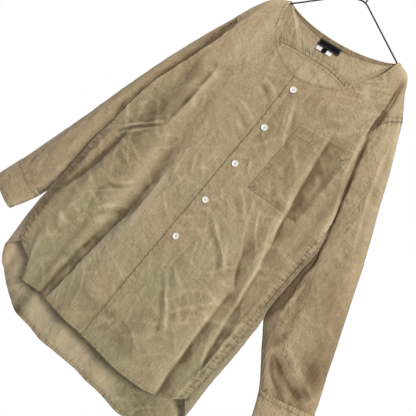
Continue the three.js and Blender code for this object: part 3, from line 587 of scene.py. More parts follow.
def front_surface(rows, side, across, station):
    """Points of one front. across is 0 at the edge, 1 at the fold, 2 at the turn, 3 at the seam."""
    neck_edge = place(rows, "edge", np.minimum(station, EDGE_STATION), 0, EDGE_STATION)
    front_edge = place(rows, "edge", np.maximum(station, EDGE_STATION), EDGE_STATION, HEM_STATION)
    edge = np.where((station <= EDGE_STATION)[..., None], neck_edge, front_edge)
    fold = place(rows, "fold", station)
    seam = place(rows, "seam", station)
    turn = turn_place(rows, station, fold, seam)
    for name, points in (("edge", edge), ("fold", fold), ("turn", turn), ("seam", seam)):
        leave_wire(points, rows[name + "Y"][1], station)
    p = through_points([edge, fold, turn, seam], across)
    share = np.clip(across, 0, 1)
    hem_level = mix(1, 5, smooth((station - 9) / 3))
    p[..., 2] += (fold[..., 2] - edge[..., 2]) * (share ** hem_level - share)
    p[..., 0] *= side
    calm = (1 - smooth(across - 0.9)) * smooth((station - 1) / 3)
    p[..., 1] += calm * fold_depth(FRONT_FOLDS, p[..., 0], p[..., 2])
    return p


def yoke_top(front, back, side, neck_share, across):
    """Back neck from the middle to the neck point, then the shoulder line."""
    middle = np.array([0, back["midY"][0], back["midZ"][0]])
    neck_point = np.array([front["edge" + axis][0] for axis in "XYZ"])
    neck = middle + (neck_point - middle) * neck_share[..., None]
    neck[..., 2] = mix(middle[2], neck_point[2], neck_share ** 2.2)
    neck[..., 1] = middle[1] * np.sqrt(1 - neck_share ** 10)
    neck[..., 0] *= side
    shoulder = front_surface(front, side, across, np.zeros(np.shape(across)))
    return np.where((neck_share < 1)[..., None], neck, shoulder)


def back_surface(front, back, side, neck_share, across, station):
    """Points of a half of the back or yoke. neck_share and across say which column it is."""
    row_across = np.where(across > 1, across, mix(NECK_PART * neck_share, 1, np.minimum(1, across)))
    low = np.maximum(YOKE_STATION, station)
    first = YOKE_STATION
    middle = np.stack([np.zeros(np.shape(low)), column(back, "midY", low, first),
                       column(back, "midZ", low, first)], -1)
    fold = place(back, "fold", low, first)
    armhole = place(back, "seam", np.minimum(low, UNDERARM_STATION), 0, UNDERARM_STATION)
    side_seam = place(front, "seam", np.maximum(low, UNDERARM_STATION))
    seam = np.where((low >= UNDERARM_STATION)[..., None], side_seam, armhole)
    turn = turn_place(back, low, fold, seam, first)
    p = through_points([middle, fold, turn, seam], row_across)
    share = np.clip(row_across, 0, 1)
    level = mix(2 if side > 0 else 6, 1, smooth((low - 3) / 3)) + 4 * smooth((low - 9) / 3)
    p[..., 2] += (fold[..., 2] - middle[..., 2]) * (share ** level - share)
    if side < 0:
        p[..., 2] -= TAIL_SAG * np.sin(math.pi * share) * smooth((low - 9) / 3)
    p[..., 0] *= side
    calm = (1 - smooth(row_across - 0.9)) * smooth((station - 3) / 2)
    p[..., 1] += calm * fold_depth(BACK_FOLDS, p[..., 0], p[..., 2])
    top = yoke_top(front, back, side, neck_share, across)
    t = np.clip(station / YOKE_STATION, 0, 1)
    blended = top + (p - top) * t[..., None]
    blended[..., 1] = mix(top[..., 1], p[..., 1], t ** 0.55)
    up = np.clip(station, 0, YOKE_STATION)
    edge_now = leave_wire(place(back, "seam", up, 0, UNDERARM_STATION), back["seamY"][1], up)
    edge_top, edge_low = (place(back, "seam", np.array(row)) for row in (0, YOKE_STATION))
    edge_flat = edge_top + (edge_low - edge_top) * t[..., None]
    edge_flat[..., 1] = mix(edge_top[1], edge_low[1], t ** 0.55)
    pull = np.where(across > 1, smooth((across - 1) / 2), 0)
    fix = (edge_now - edge_flat) * pull[..., None]
    fix[..., 0] *= side
    return np.where((station >= YOKE_STATION)[..., None], p, blended + fix)


def sleeve_ring(sleeve, is_back, angle, step):
    """Oval rings down a sleeve, in the wearer's-left sense."""
    outer = place(sleeve, "outer", step)
    inner = place(sleeve, "inner", step)
    depth = np.where(is_back, column(sleeve, "back", step), -column(sleeve, "front", step))
    ring = (outer + inner) / 2 + (outer - inner) / 2 * np.cos(angle)[..., None]
    ring[..., 1] += depth * np.abs(np.sin(angle)) ** 0.8
    return ring


def sleeve_surface(front, back, sleeve, side, around, step):
    """Points of a sleeve. around is 0 at the shoulder, 7 at the underarm and 14 at the shoulder."""
    is_back = around > UNDERARM_STATION
    down = np.where(is_back, 2 * UNDERARM_STATION - around, around)
    angle = math.pi * down / UNDERARM_STATION
    p = sleeve_ring(sleeve, is_back, angle, step)
    hold = 1 - smooth(step / 1.6)
    front_hole = leave_wire(place(front, "seam", down), front["seamY"][1], down)
    back_hole = leave_wire(place(back, "seam", down, 0, UNDERARM_STATION), back["seamY"][1], down)
    armhole = np.where(is_back[..., None], back_hole, front_hole)
    first_ring = sleeve_ring(sleeve, is_back, angle, np.zeros(np.shape(step)))
    p = p + (armhole - first_ring) * hold[..., None]
    p[..., 0] *= side
    return p


# ---- Shells: grids of points with their normals and their distances from each edge ----

def place_of(away, distances):
    """Fractional place in a row of distances, growing or falling, where they reach away."""
    places = np.arange(len(distances))
    step = 1 if distances[-1] > distances[0] else -1
    return np.interp(away, distances[::step], places[::step])


class Shell:
    """A panel's surface as a grid of points in mm, which relief moves along the normals.

    seam, lap, stitched and firm say how far the nearest sewn edge is, how wide its band is, how
    far along it a point lies and how strongly it shows. The painted shading is painted shade
    where it is positive and painted light where it is negative, and thick is 1 where the cloth
    lies double."""

    def __init__(self, points, outward, closed=False):
        self.points = points
        self.closed = closed
        self.normals = self.find_normals(points)
        if outward is None:
            outward = points - points.mean(axis=1, keepdims=True)
        if (self.normals * outward).sum() < 0:
            self.normals = -self.normals
        self.across = self.run(points, 1)
        self.down = self.run(points, 0)
        self.relief, self.stitched, self.dye, self.thick, self.firm, self.lap, self.seam = (
            np.full(points.shape[:2], start) for start in (0.0, 0.0, 0.0, 0.0, 1.0, 8.0, 99.0))

    def find_normals(self, points):
        if self.closed:
            wrapped = np.concatenate([points[:, -2:], points, points[:, :2]], axis=1)
            along = np.gradient(wrapped, axis=1)[:, 2:-2]
        else:
            along = np.gradient(points, axis=1)
        return unit(np.cross(along, np.gradient(points, axis=0)))

    @staticmethod
    def run(points, axis):
        steps = length(np.diff(points, axis=axis))[..., 0]
        start = np.zeros_like(np.take(points[..., 0], [0], axis=axis))
        return np.concatenate([start, np.cumsum(steps, axis=axis)], axis=axis)

    @property
    def x(self):
        return self.points[..., 0]

    @property
    def z(self):
        return self.points[..., 2]

    @property
    def from_last(self):
        return self.across[:, -1:] - self.across

    @property
    def from_bottom(self):
        return self.down[-1:, :] - self.down

    @property
    def from_side(self):
        return np.minimum(self.across, self.from_last)

    @property
    def along_side(self):
        return np.where(self.x < 0, self.down[:, :1], self.down[:, -1:])

    def sewn_along(self, distance, along, lap, firm=1.0, keep=True):
        """Notes a sewn edge: how far each point is from it and along it, and the band's width."""
        nearer = (distance - lap < self.seam - self.lap) & keep
        self.seam = np.where(nearer, distance, self.seam)
        self.lap = np.where(nearer, lap, self.lap)
        self.stitched = np.where(nearer, along, self.stitched)
        self.firm = np.where(nearer, firm, self.firm)

    def raised(self, lift=0.0):
        return self.points + self.normals * (self.relief + lift)[..., None]

    def hollows(self):
        """How far each point lies below its neighbours for their distance: positive in troughs."""
        shape = self.raised()
        total = np.zeros(shape.shape[:2])
        spacing = [np.median(length(np.diff(shape, axis=axis))) for axis in (0, 1)]
        for size in (7, 16):
            around = []
            for axis in (0, 1):
                reach = max(1, round(size / spacing[axis]))
                ends = "wrap" if self.closed and axis == 1 else "edge"
                pad = [(reach, reach) if k == axis else (0, 0) for k in range(3)]
                padded = np.pad(shape, pad, mode=ends)
                count = shape.shape[axis]
                around.append(np.take(padded, range(count), axis=axis))
                around.append(np.take(padded, range(2 * reach, count + 2 * reach), axis=axis))
            spread = sum(length(side - shape) for side in around)[..., 0] / 4
            lift = ((sum(around) / 4 - shape) * self.normals).sum(-1)
            total += lift / np.maximum(spread, 1e-3)
        return total

    def sample(self, rows, columns, lift=0.0):
        """Points and normals at fractional rows and columns."""
        rows, columns = np.array(rows, float), np.array(columns, float)
        i = np.clip(np.floor(rows).astype(int), 0, self.points.shape[0] - 2)
        j = np.clip(np.floor(columns).astype(int), 0, self.points.shape[1] - 2)
        fi, fj = (rows - i)[:, None], (columns - j)[:, None]
        found = []
        for field in (self.raised(lift), self.normals):
            top = mix(field[i, j], field[i, j + 1], fj)
            low = mix(field[i + 1, j], field[i + 1, j + 1], fj)
            found.append(mix(top, low, fi))
        return found[0], unit(found[1])

    def line_down(self, distances, away, rows=None):
        """A line down the panel, at a set distance by a measure that changes across its rows."""
        rows = range(self.points.shape[0]) if rows is None else rows
        columns = [place_of(away, distances[i]) for i in rows]
        return self.sample(rows, columns)

    def line_across(self, distances, away, columns=None, lift=0.0):
        """A line across the panel, at a set distance by a measure that changes down it."""
        columns = range(self.points.shape[1]) if columns is None else columns
        rows = [place_of(away, distances[:, j]) for j in columns]
        return self.sample(rows, columns, lift)


# Directions of the small creases: angle from the level, size of their patches and height in mm.
CRINKLE_DIRECTIONS = ((-58, 30, 0.95), (38, 26, 0.8), (84, 34, 0.6), (8, 24, 0.6), (-24, 22, 0.65))


def crinkle(points, amount):
    """Relief of washed cotton: soft waves, patches of sharp creases and a fine crumple."""
    x, y, z = np.moveaxis(points, -1, 0)
    relief = 1.6 * noise(points * (1, 0.6, 0.5), 80, 1) + 1.1 * noise(points * (1, 0.6, 0.7), 34, 2)
    for k, (angle, size, height) in enumerate(CRINKLE_DIRECTIONS):
        c, s = math.cos(math.radians(angle)), math.sin(math.radians(angle))
        turned = np.stack([(z * c - x * s) / size, (x * c + z * s) / (3.4 * size), y / 70], -1)
        line = noise(turned, 1, 10 + k)
        patch = smooth((noise(points, 85, 20 + k) + 0.05) / 0.4)
        relief += 1.35 * height * patch * (np.exp(-np.abs(line) / 0.07) - 0.25)
    relief += 0.45 * noise(points * (1, 1, 0.7), 15, 5) + 0.2 * noise(points, 8, 6)
    return amount * relief


def pucker(along, distance, pitch, depth, reach, seed):
    """Ripples that stand across a seam and fade away from it."""
    places = np.stack([along, 0.22 * distance, np.zeros(np.shape(along))], -1)
    swell = 0.65 + 0.5 * noise(places, 9 * pitch, seed + 50)
    return depth * swell * noise(places, pitch, seed) * np.exp(-(distance / reach) ** 2)


def band(distance, width, height):
    """The raised strip of a felled seam or a hem."""
    return height * (1 - smooth((distance - width) / 1.6 + 0.5))


def layers(distance, width):
    """1 where a hem or seam lies double, 0 on single cloth."""
    return band(distance, width, 1)


# ---- Meshes ----

def to_metres(points):
    return (points + np.array([0, 0, NECK_Z])) * MM


def add_object(name, data):
    made = bpy.data.objects.new(name, data)
    bpy.context.scene.collection.objects.link(made)
    return made


def new_object(name, mesh, material):
    mesh.materials.append(material)
    return add_object(name, mesh)


def smooth_faces(mesh):
    mesh.polygons.foreach_set("use_smooth", np.ones(len(mesh.polygons), bool))


def converted(helper):
    """The helper object as a plain mesh. The helper goes, with its modifiers."""
    graph = bpy.context.evaluated_depsgraph_get()
    mesh = bpy.data.meshes.new_from_object(helper.evaluated_get(graph))
    for modifier in list(helper.modifiers):
        helper.modifiers.remove(modifier)
    bpy.data.objects.remove(helper)
    return mesh


def from_bmesh(name, shape):
    mesh = bpy.data.meshes.new(name)
    shape.to_mesh(mesh)
    shape.free()
    return mesh


def quads(i, j, after, columns):
    """Corners of a grid's quads, whose points are counted row by row."""
    return np.stack([i * columns + j, (i + 1) * columns + j, (i + 1) * columns + after,
                     i * columns + after], -1).reshape(-1, 4)


def grid_mesh(name, points, cut, closed, outward):
    """A grid of points as quads, with the flat cut as its UV map."""
    rows, columns = points.shape[:2]
    spans = columns if closed else columns - 1
    i, j = np.meshgrid(np.arange(rows - 1), np.arange(spans), indexing="ij")
    corners = quads(i, j, (j + 1) % columns, columns)
    flat = points.reshape(-1, 3)
    first = flat[corners[:, 2]] - flat[corners[:, 0]]
    second = flat[corners[:, 3]] - flat[corners[:, 1]]
    facing = outward.reshape(-1, 3)[corners[:, 0]]
    turned = (np.cross(first, second) * facing).sum() < 0
    uv_corners = quads(i, j, j + 1, cut.shape[1])
    if turned:
        corners, uv_corners = corners[:, ::-1], uv_corners[:, ::-1]
    mesh = bpy.data.meshes.new(name)
    mesh.from_pydata(to_metres(flat).tolist(), [], corners.tolist())
    layer = mesh.uv_layers.new(name="cut")
    layer.data.foreach_set("uv", (cut.reshape(-1, 2)[uv_corners.reshape(-1)] * MM).ravel())
    smooth_faces(mesh)
    mesh.update()
    return mesh


def cloth_piece(name, shell, material, wall, straight=0):
    """The panel as a thin closed wall. straight is the column along which the grain runs."""
    across = shell.across - shell.across[:, straight:straight + 1]
    down = np.repeat(shell.down[:, straight:straight + 1], across.shape[1], axis=1)
    if shell.closed:
        girth = length(shell.points[:, :1] - shell.points[:, -1:])[..., 0]
        across = np.concatenate([across, across[:, -1:] + girth], axis=1)
        down = np.concatenate([down, down[:, :1]], axis=1)
    mesh = grid_mesh(name, shell.raised(), np.stack([across, down], -1), shell.closed,
                     shell.normals)
    # The first attribute adds the depth of the troughs to the painted shading. The colour darkens
    # with it as painted shade and pales on crests as a painted highlight with some wear.
    fields = (("shade_paint", shell.hollows() + shell.dye), ("seam", shell.seam), ("lap", shell.lap),
              ("stitched", shell.stitched), ("firm", shell.firm))
    for label, values in fields:
        layer = mesh.attributes.new(label, "FLOAT", "POINT")
        layer.data.foreach_set("value", values.ravel().astype(np.float32))
    piece = new_object(name, mesh, material)
    group = piece.vertex_groups.new(name="double")
    for weight in (0, 0.25, 0.5, 0.75, 1):
        chosen = np.flatnonzero(np.abs(shell.thick.ravel() - weight) <= 0.125)
        group.add(chosen.tolist(), weight, "REPLACE")
    wall_made = piece.modifiers.new("Cloth wall", "SOLIDIFY")
    wall_made.thickness = 2 * wall
    wall_made.offset = 0
    wall_made.vertex_group = "double"
    wall_made.thickness_vertex_group = 0.5
    wall_made.use_rim = True
    return piece


def finish_piece(piece, slot, *nodes):
    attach(piece, BODY)
    if nodes:
        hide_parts(*nodes)


# ---- Shader values ----

class Value:
    """A number or colour that a material works out, so that sums are written as they are."""

    def __init__(self, shade, socket):
        self.shade = shade
        self.socket = socket

    def maths(self, operation, first, second):
        return self.shade.node("ShaderNodeMath", {"operation": operation}, {0: first, 1: second})

    def __add__(self, other):
        return self.maths("ADD", self, other)

    def __radd__(self, other):
        return self.maths("ADD", other, self)

    def __sub__(self, other):
        return self.maths("SUBTRACT", self, other)

    def __rsub__(self, other):
        return self.maths("SUBTRACT", other, self)

    def __mul__(self, other):
        return self.maths("MULTIPLY", self, other)

    def __rmul__(self, other):
        return self.maths("MULTIPLY", other, self)

    def __truediv__(self, other):
        return self.maths("DIVIDE", self, other)

    def __rtruediv__(self, other):
        return self.maths("DIVIDE", other, self)

    def absolute(self):
        return self.maths("ABSOLUTE", self, 0)

    def sine(self):
        return self.maths("SINE", self, 0)

    def least(self, other):
        return self.maths("MINIMUM", self, other)


class Shade:
    """A material and its nodes."""

    def __init__(self, name):
        self.material = bpy.data.materials.new(name)
        self.material.use_nodes = True
        self.tree = self.material.node_tree
        self.tree.nodes.clear()
        self.where = self.node("ShaderNodeTexCoord", output="Object")

    def node(self, kind, settings=None, inputs=None, output=0):
        """Adds a node. Its settings are set first, then the values or links of its sockets."""
        made = self.tree.nodes.new(kind)
        for name, value in (settings or {}).items():
            setattr(made, name, value)
        for name, value in (inputs or {}).items():
            if isinstance(value, Value):
                self.tree.links.new(value.socket, made.inputs[name])
            else:
                made.inputs[name].default_value = value
        return None if output is None else Value(self, made.outputs[output])

    def parts(self, vector):
        """The three parts of a vector."""
        made = self.node("ShaderNodeSeparateXYZ", {}, {"Vector": vector}).socket.node
        return [Value(self, made.outputs[axis]) for axis in "XYZ"]

    def blend(self, share, first, second):
        """The first colour turning into the second."""
        settings = {"data_type": "RGBA", "clamp_factor": True}
        return self.node("ShaderNodeMix", settings, {0: share, 6: first, 7: second}, 2)

    def spread(self, value, low, high, to_low=0.0, to_high=1.0):
        """A value moved from one range to another, held at its ends."""
        return self.node("ShaderNodeMapRange", {"clamp": True},
                         {0: value, 1: low, 2: high, 3: to_low, 4: to_high})

    def scaled(self, where, size, stretch_by):
        """Places counted in sizes, given in metres."""
        return self.node("ShaderNodeMapping", {}, {
            "Vector": where, "Scale": tuple(s / size for s in stretch_by)})

    def speckle(self, where, size, detail=2.0, roughness=0.5, stretch_by=(1, 1, 1)):
        """Noise of a size in metres."""
        return self.node("ShaderNodeTexNoise", {}, {
            "Vector": self.scaled(where, size, stretch_by), "Scale": 1.0, "Detail": detail,
            "Roughness": roughness})

    def cells(self, where, size, stretch_by, feature, drift_scale, drift_reach):
        """Distances in a pattern of cells whose borders drift."""
        drift = self.node("ShaderNodeTexNoise", {}, {
            "Vector": where, "Scale": drift_scale / size, "Detail": 2.0, "Roughness": 0.6}, "Color")
        bent = self.node("ShaderNodeVectorMath", {"operation": "MULTIPLY_ADD"}, {
            0: drift, 1: (drift_reach * size,) * 3, 2: where})
        return self.node("ShaderNodeTexVoronoi", {"feature": feature}, {
            "Vector": self.scaled(bent, size, stretch_by), "Scale": 1.0}, "Distance")

    def crease_net(self, where, size, stretch_by):
        """A net of sharp ridges that meet in corners, as crumpled cloth keeps them."""
        cell = self.cells(where, size, stretch_by, "DISTANCE_TO_EDGE", 0.8, 1.1)
        return self.spread(cell, 0.08, 0.0)

    def facets(self, where, size, stretch_by):
        """Shallow hollows that meet in sharp crests."""
        return self.cells(where, size, stretch_by, "F1", 0.7, 1.4)

    def bump(self, height, strength, distance):
        """Relief of a height counted in a distance in metres."""
        return self.node("ShaderNodeBump", {}, {
            "Strength": strength, "Distance": distance, "Height": height}, "Normal")

    def finish(self, **sockets):
        """Ends in one surface whose sockets are named with underscores for spaces."""
        inputs = {name.replace("_", " "): value for name, value in sockets.items()}
        surface = self.node("ShaderNodeBsdfPrincipled", {}, inputs)
        self.node("ShaderNodeOutputMaterial", {}, {"Surface": surface}, None)
        return self.material


# ---- Finishes ----

def opaque(colour):
    return (*colour, 1.0)


def cotton(settings):
    """Thin washed plain-weave cotton, with painted shade browner in its folds, and paler crests
    from a painted highlight with some wear.
    """
    shade = Shade("washed cotton")
    cut = shade.node("ShaderNodeUVMap", {"uv_map": "cut"})
    where = shade.where
    shade_paint, seam, lap, stitched, firm = (
        shade.node("ShaderNodeAttribute", {"attribute_name": name}, output="Fac")
        for name in ("shade_paint", "seam", "lap", "stitched", "firm"))

    # seams: the band's step, its line of stitches and the puckers that cross it like a ladder
    inside = lap - seam
    groove = shade.spread((inside - 1.2).absolute(), 1.0, 0.25)
    step = shade.spread((inside + 0.3).absolute(), 1.1, 0.2)
    near = shade.spread(inside, -8.0, 1.0) * shade.spread(seam, 60.0, 40.0) * firm
    rungs = shade.node("ShaderNodeCombineXYZ", {}, {"X": stitched / 4.6, "Y": seam / 24.0})
    ladder = shade.node("ShaderNodeTexNoise", {}, {
        "Vector": rungs, "Scale": 1.0, "Detail": 1.0, "Roughness": 0.4})

    patches = shade.spread(shade.speckle(where, 0.13, 2.0), 0.35, 0.65)
    # patches is the cloth's own uneven tone. low paints a greener shade tint over the lower middle
    # of the body, and also greens the dark colour there.
    aside, _, level = shade.parts(where)
    low = shade.spread(level, -0.28, -0.75) * shade.spread(aside.absolute(), 0.27, 0.19)
    cool = patches * 0.45 + low * 0.55
    colour = shade.blend(cool, opaque(settings.colour), opaque(settings.cool_colour))
    dark = shade.blend(cool * 0.32, opaque(settings.hollow_colour), (0.095, 0.082, 0.045, 1))
    streaks = shade.spread(shade.speckle(where, 0.004, 3.0, 0.6, (1, 1, 0.08)), 0.35, 0.65)
    mottle = shade.spread(shade.speckle(where, 0.007, 4.0, 0.7), 0.3, 0.7)
    grain = shade.spread(shade.speckle(where, 0.0026, 2.0, 0.6), 0.3, 0.7)
    colour = shade.blend(mottle * 0.14 + grain * 0.31, colour, dark)
    # Painted highlight with some wear: the colour pales on crests and where the painted shading is
    # negative.
    wear_and_highlight = shade.spread(shade_paint, -0.02, -0.36, 0.0, 0.66)
    colour = shade.blend(wear_and_highlight, colour, opaque(settings.wear_and_highlight_colour))
    # Painted shade: the colour darkens in troughs and where the painted shading is positive.
    painted_shade = shade.spread(shade_paint, 0.0, 0.47) * (0.85 + streaks * 0.2)
    colour = shade.blend(painted_shade, colour, dark)
    warp = shade.speckle(cut, 0.0011, 2.0, 0.6, (1, 0.02, 1))
    weft = shade.speckle(cut, 0.0012, 2.0, 0.6, (0.025, 1, 1))
    yarns = shade.spread(warp + weft, 0.75, 1.25)
    colour = shade.blend(yarns * 0.24, colour, dark)
    # Painted shade along the seams: in the line of stitches, at the band's step and on the low side
    # of the puckers.
    seam_painted_shade = (groove * 0.5 + step * 0.12) * firm + near * shade.spread(ladder, 0.52, 0.38) * 0.6
    colour = shade.blend(seam_painted_shade, colour, dark)

    # relief in mm: facets and a net of sharp creases in patches, crumple, puckers and weave
    patch = shade.spread(shade.speckle(where, 0.075, 1.0), 0.40, 0.58, 0.35, 1.0)
    other = shade.spread(shade.speckle(where, 0.07, 1.0, 0.5, (1.3, 1, 0.8)), 0.42, 0.58, 0.3, 1.0)
    folded = (shade.facets(where, 0.026, (1, 1, 0.6)) * patch * 3.4
              + shade.facets(where, 0.013, (0.8, 1, 1)) * other * 1.9)
    net = (shade.crease_net(where, 0.024, (1, 1, 0.5)) * other * 0.55
           + shade.crease_net(where, 0.014, (0.6, 1, 1)) * patch * 0.45)
    crumple = folded + net + shade.speckle(where, 0.0065, 4.0, 0.7) * 1.7
    drag = shade.speckle(where, 0.0045, 3.0, 0.6, (1, 1, 0.1)) * 1.1
    fine = shade.speckle(where, 0.0024, 2.0, 0.5) * 0.55 + drag
    sewing = shade.spread(inside, -0.5, 0.6) * 0.35 - groove * 0.35
    puckers = near * (ladder - 0.5) * 5.4 * settings.pucker
    across, down, _ = shade.parts(cut)
    turns = 2 * math.pi / settings.yarn
    weave = (across * turns).sine() * (down * turns).sine() * 0.03
    height = crumple + fine + sewing + puckers + weave + (warp + weft) * 0.22
    roughness = 0.82 + shade.speckle(where, 0.03) * 0.12
    return shade.finish(Base_Color=colour, Roughness=roughness, Normal=shade.bump(height, 1.0, MM),
                        Sheen_Weight=0.10, Sheen_Roughness=0.45, Specular_IOR_Level=0.25)


def sewing_thread(settings):
    shade = Shade("sewing thread")
    where = shade.where
    tone = shade.spread(shade.speckle(where, 0.004, 2.0), 0.3, 0.7)
    colour = shade.blend(tone * 0.4, opaque(settings.thread_colour), opaque(settings.hollow_colour))
    twist = shade.speckle(where, 0.0005, 1.0)
    bump = shade.bump(twist, 0.5, 0.1 * MM)
    return shade.finish(Base_Color=colour, Roughness=0.6, Normal=bump, Sheen_Weight=0.1)


def shell_plastic(settings):
    """Pearly plastic of the buttons, faintly clouded."""
    shade = Shade("pearly plastic")
    where = shade.where
    cloud = shade.spread(shade.speckle(where, 0.004, 3.0, 0.6, (1, 1, 0.4)), 0.3, 0.7)
    colour = shade.blend(cloud, opaque(settings.colour), opaque(settings.cloud_colour))
    scratch = shade.speckle(where, 0.0008, 2.0)
    bump = shade.bump(scratch, 0.25, 0.05 * MM)
    roughness = 0.22 + cloud * 0.12
    return shade.finish(Base_Color=colour, Roughness=roughness, Normal=bump, Coat_Weight=0.35,
                        Coat_Roughness=0.12, Specular_IOR_Level=0.5)


def coated_wire(settings):
    shade = Shade("coated wire")
    where = shade.where
    dull = shade.spread(shade.speckle(where, 0.009, 3.0), 0.3, 0.7)
    colour = shade.blend(dull * 0.6, opaque(settings.colour), (0.05, 0.05, 0.052, 1))
    orange_peel = shade.speckle(where, 0.0012, 2.0)
    bump = shade.bump(orange_peel, 0.3, 0.05 * MM)
    return shade.finish(Base_Color=colour, Roughness=0.32 + dull * 0.2, Normal=bump,
                        Specular_IOR_Level=0.5)


def woven_tape(name, ground, rib, border=None):
    """Label tape: fine ribs, with a plain woven border where one is given as the tape's width
    and height, the border's place and half its width, all in metres, and its colour."""
    shade = Shade(name)
    cut = shade.node("ShaderNodeUVMap", {"uv_map": "cut"})
    where = shade.where
    across, down, _ = shade.parts(cut)
    ribs = (down * (2 * math.pi / 0.0005)).sine()
    lines = (across * (2 * math.pi / 0.0004)).sine()
    weave = ribs * 0.5 + lines * 0.3
    tone = shade.speckle(where, 0.002, 2.0) * 0.7 + weave * 0.15
    colour = shade.blend(shade.spread(tone, 0.1, 0.7), opaque(ground), opaque(rib))
    if border:
        width, height, inset, line, tint = border
        from_edge = (width / 2 - (across - width / 2).absolute()).least(
            height / 2 - (down - height / 2).absolute())
        on_line = shade.spread((from_edge - inset).absolute(), line, line * 0.5)
        colour = shade.blend(on_line * 0.8, colour, opaque(tint))
    return shade.finish(Base_Color=colour, Roughness=0.85, Specular_IOR_Level=0.1,
                        Normal=shade.bump(weave, 0.5, 0.08 * MM))


def pale_floor(settings):
    shade = Shade("pale floor")
    where = shade.where
    tone = shade.speckle(where, 0.5, 2.0)
    colour = shade.blend(tone * 0.2, opaque(settings.floor_colour), (0.9, 0.9, 0.9, 1))
    return shade.finish(Base_Color=colour, Roughness=0.9, Specular_IOR_Level=0.1)


# ---- Sizes and colours that a user would change ----

FINE_LENGTH = {"unit": "LENGTH", "precision": 5}
LENGTH = {"unit": "LENGTH", "precision": 4}
COLOUR = {"subtype": "COLOR", "size": 3}


class ShirtCloth(bpy.types.PropertyGroup):
    """The cloth and its sewing"""
    wall: bpy.props.FloatProperty(
        name="Cloth wall", default=0.00055, min=0.0002, max=0.003, **FINE_LENGTH,
        description="Thickness of one layer of the cloth")
    crumple: bpy.props.FloatProperty(
        name="Crumple", default=1.0, min=0, max=3, description="Height of the small wrinkles")
    pucker: bpy.props.FloatProperty(
        name="Seam pucker", default=1.0, min=0, max=3,
        description="Height of the ripples along the seams")
    yarn: bpy.props.FloatProperty(
        name="Yarn", default=0.0009, min=0.0002, max=0.003, **FINE_LENGTH,
        description="Repeat of the weave")
    colour: bpy.props.FloatVectorProperty(
        name="Colour", **COLOUR, default=(0.50, 0.378, 0.236),
        description="The cloth where it is warmest")
    cool_colour: bpy.props.FloatVectorProperty(
        name="Cool colour", **COLOUR, default=(0.415, 0.362, 0.222),
        description="The cloth where it is greener")
    # Colour of the painted shade deep in the folds, also the darker tone of the threads and yarns.
    hollow_colour: bpy.props.FloatVectorProperty(
        name="Hollow colour", **COLOUR, default=(0.125, 0.080, 0.040),
        description="The cloth deep in its folds")
    # Colour of the painted highlight on sharp crests, with some wear.
    wear_and_highlight_colour: bpy.props.FloatVectorProperty(
        name="Wear and highlight colour", **COLOUR, default=(0.66, 0.54, 0.37),
        description="The cloth on sharp crests")
    thread_colour: bpy.props.FloatVectorProperty(
        name="Thread colour", **COLOUR, default=(0.47, 0.35, 0.20), description="The sewing thread")
    stitch_pitch: bpy.props.FloatProperty(
        name="Stitch pitch", default=0.003, min=0.001, max=0.01, **FINE_LENGTH,
        description="From one stitch to the next")
    stitch_length: bpy.props.FloatProperty(
        name="Stitch length", default=0.0023, min=0.0005, max=0.009, **FINE_LENGTH,
        description="Length of one stitch")
    thread: bpy.props.FloatProperty(
        name="Thread", default=0.0004, min=0.0001, max=0.002, **FINE_LENGTH,
        description="Diameter of the thread")


class ShirtButtons(bpy.types.PropertyGroup):
    """The buttons"""
    front_diameter: bpy.props.FloatProperty(
        name="Front button", default=0.0124, min=0.006, max=0.03, **LENGTH,
        description="Diameter of the front buttons")
    cuff_diameter: bpy.props.FloatProperty(
        name="Cuff button", default=0.0104, min=0.006, max=0.03, **LENGTH,
        description="Diameter of the cuff buttons")
    thickness: bpy.props.FloatProperty(
        name="Thickness", default=0.0025, min=0.001, max=0.006, **LENGTH,
        description="Thickness at the rim")
    colour: bpy.props.FloatVectorProperty(
        name="Colour", **COLOUR, default=(0.83, 0.84, 0.80), description="Button")
    cloud_colour: bpy.props.FloatVectorProperty(
        name="Cloud colour", **COLOUR, default=(0.66, 0.68, 0.63),
        description="Clouds in the button")


class ShirtHanger(bpy.types.PropertyGroup):
    """The wire hanger"""
    wire: bpy.props.FloatProperty(
        name="Wire", default=0.003, min=0.001, max=0.008, **LENGTH,
        description="Diameter of the coated wire")
    colour: bpy.props.FloatVectorProperty(
        name="Colour", **COLOUR, default=(0.036, 0.033, 0.029), description="Coating")


class ShirtStage(bpy.types.PropertyGroup):
    """Floor, light and camera"""
    floor_drop: bpy.props.FloatProperty(
        name="Floor below the hook", default=1.95, min=1, max=3, unit="LENGTH",
        description="Height of the rail")
    floor_colour: bpy.props.FloatVectorProperty(
        name="Floor colour", **COLOUR, default=(0.94, 0.94, 0.94), description="Floor")
    key: bpy.props.FloatProperty(
        name="Main light", default=64.5, min=0, max=500,
        description="Power of the main soft light, in watts")
    top: bpy.props.FloatProperty(
        name="Top light", default=20, min=0, max=500,
        description="Power of the light from above, in watts")
    air: bpy.props.FloatProperty(
        name="Light all round", default=0.31, min=0, max=3,
        description="Strength of the light from all sides")


# ---- Panels ----

SIDES = (("left", 1), ("right", -1))
HALVES = {1: (FRONT_LEFT, BACK_LEFT, SLEEVE_LEFT), -1: (FRONT_RIGHT, BACK_RIGHT, SLEEVE_RIGHT)}

# What the operators share: each panel's shell, the materials, and the lines to be sewn.
shells = {}
materials = {}
seam_lines = []
wrist_lines = []

FRONT_ROWS = stretch((0, 6, 110), (6, HEM_STATION, 250))
FRONT_ACROSS = stretch((0, 1, 92), (1, 2, 9), (2, 3, 11))
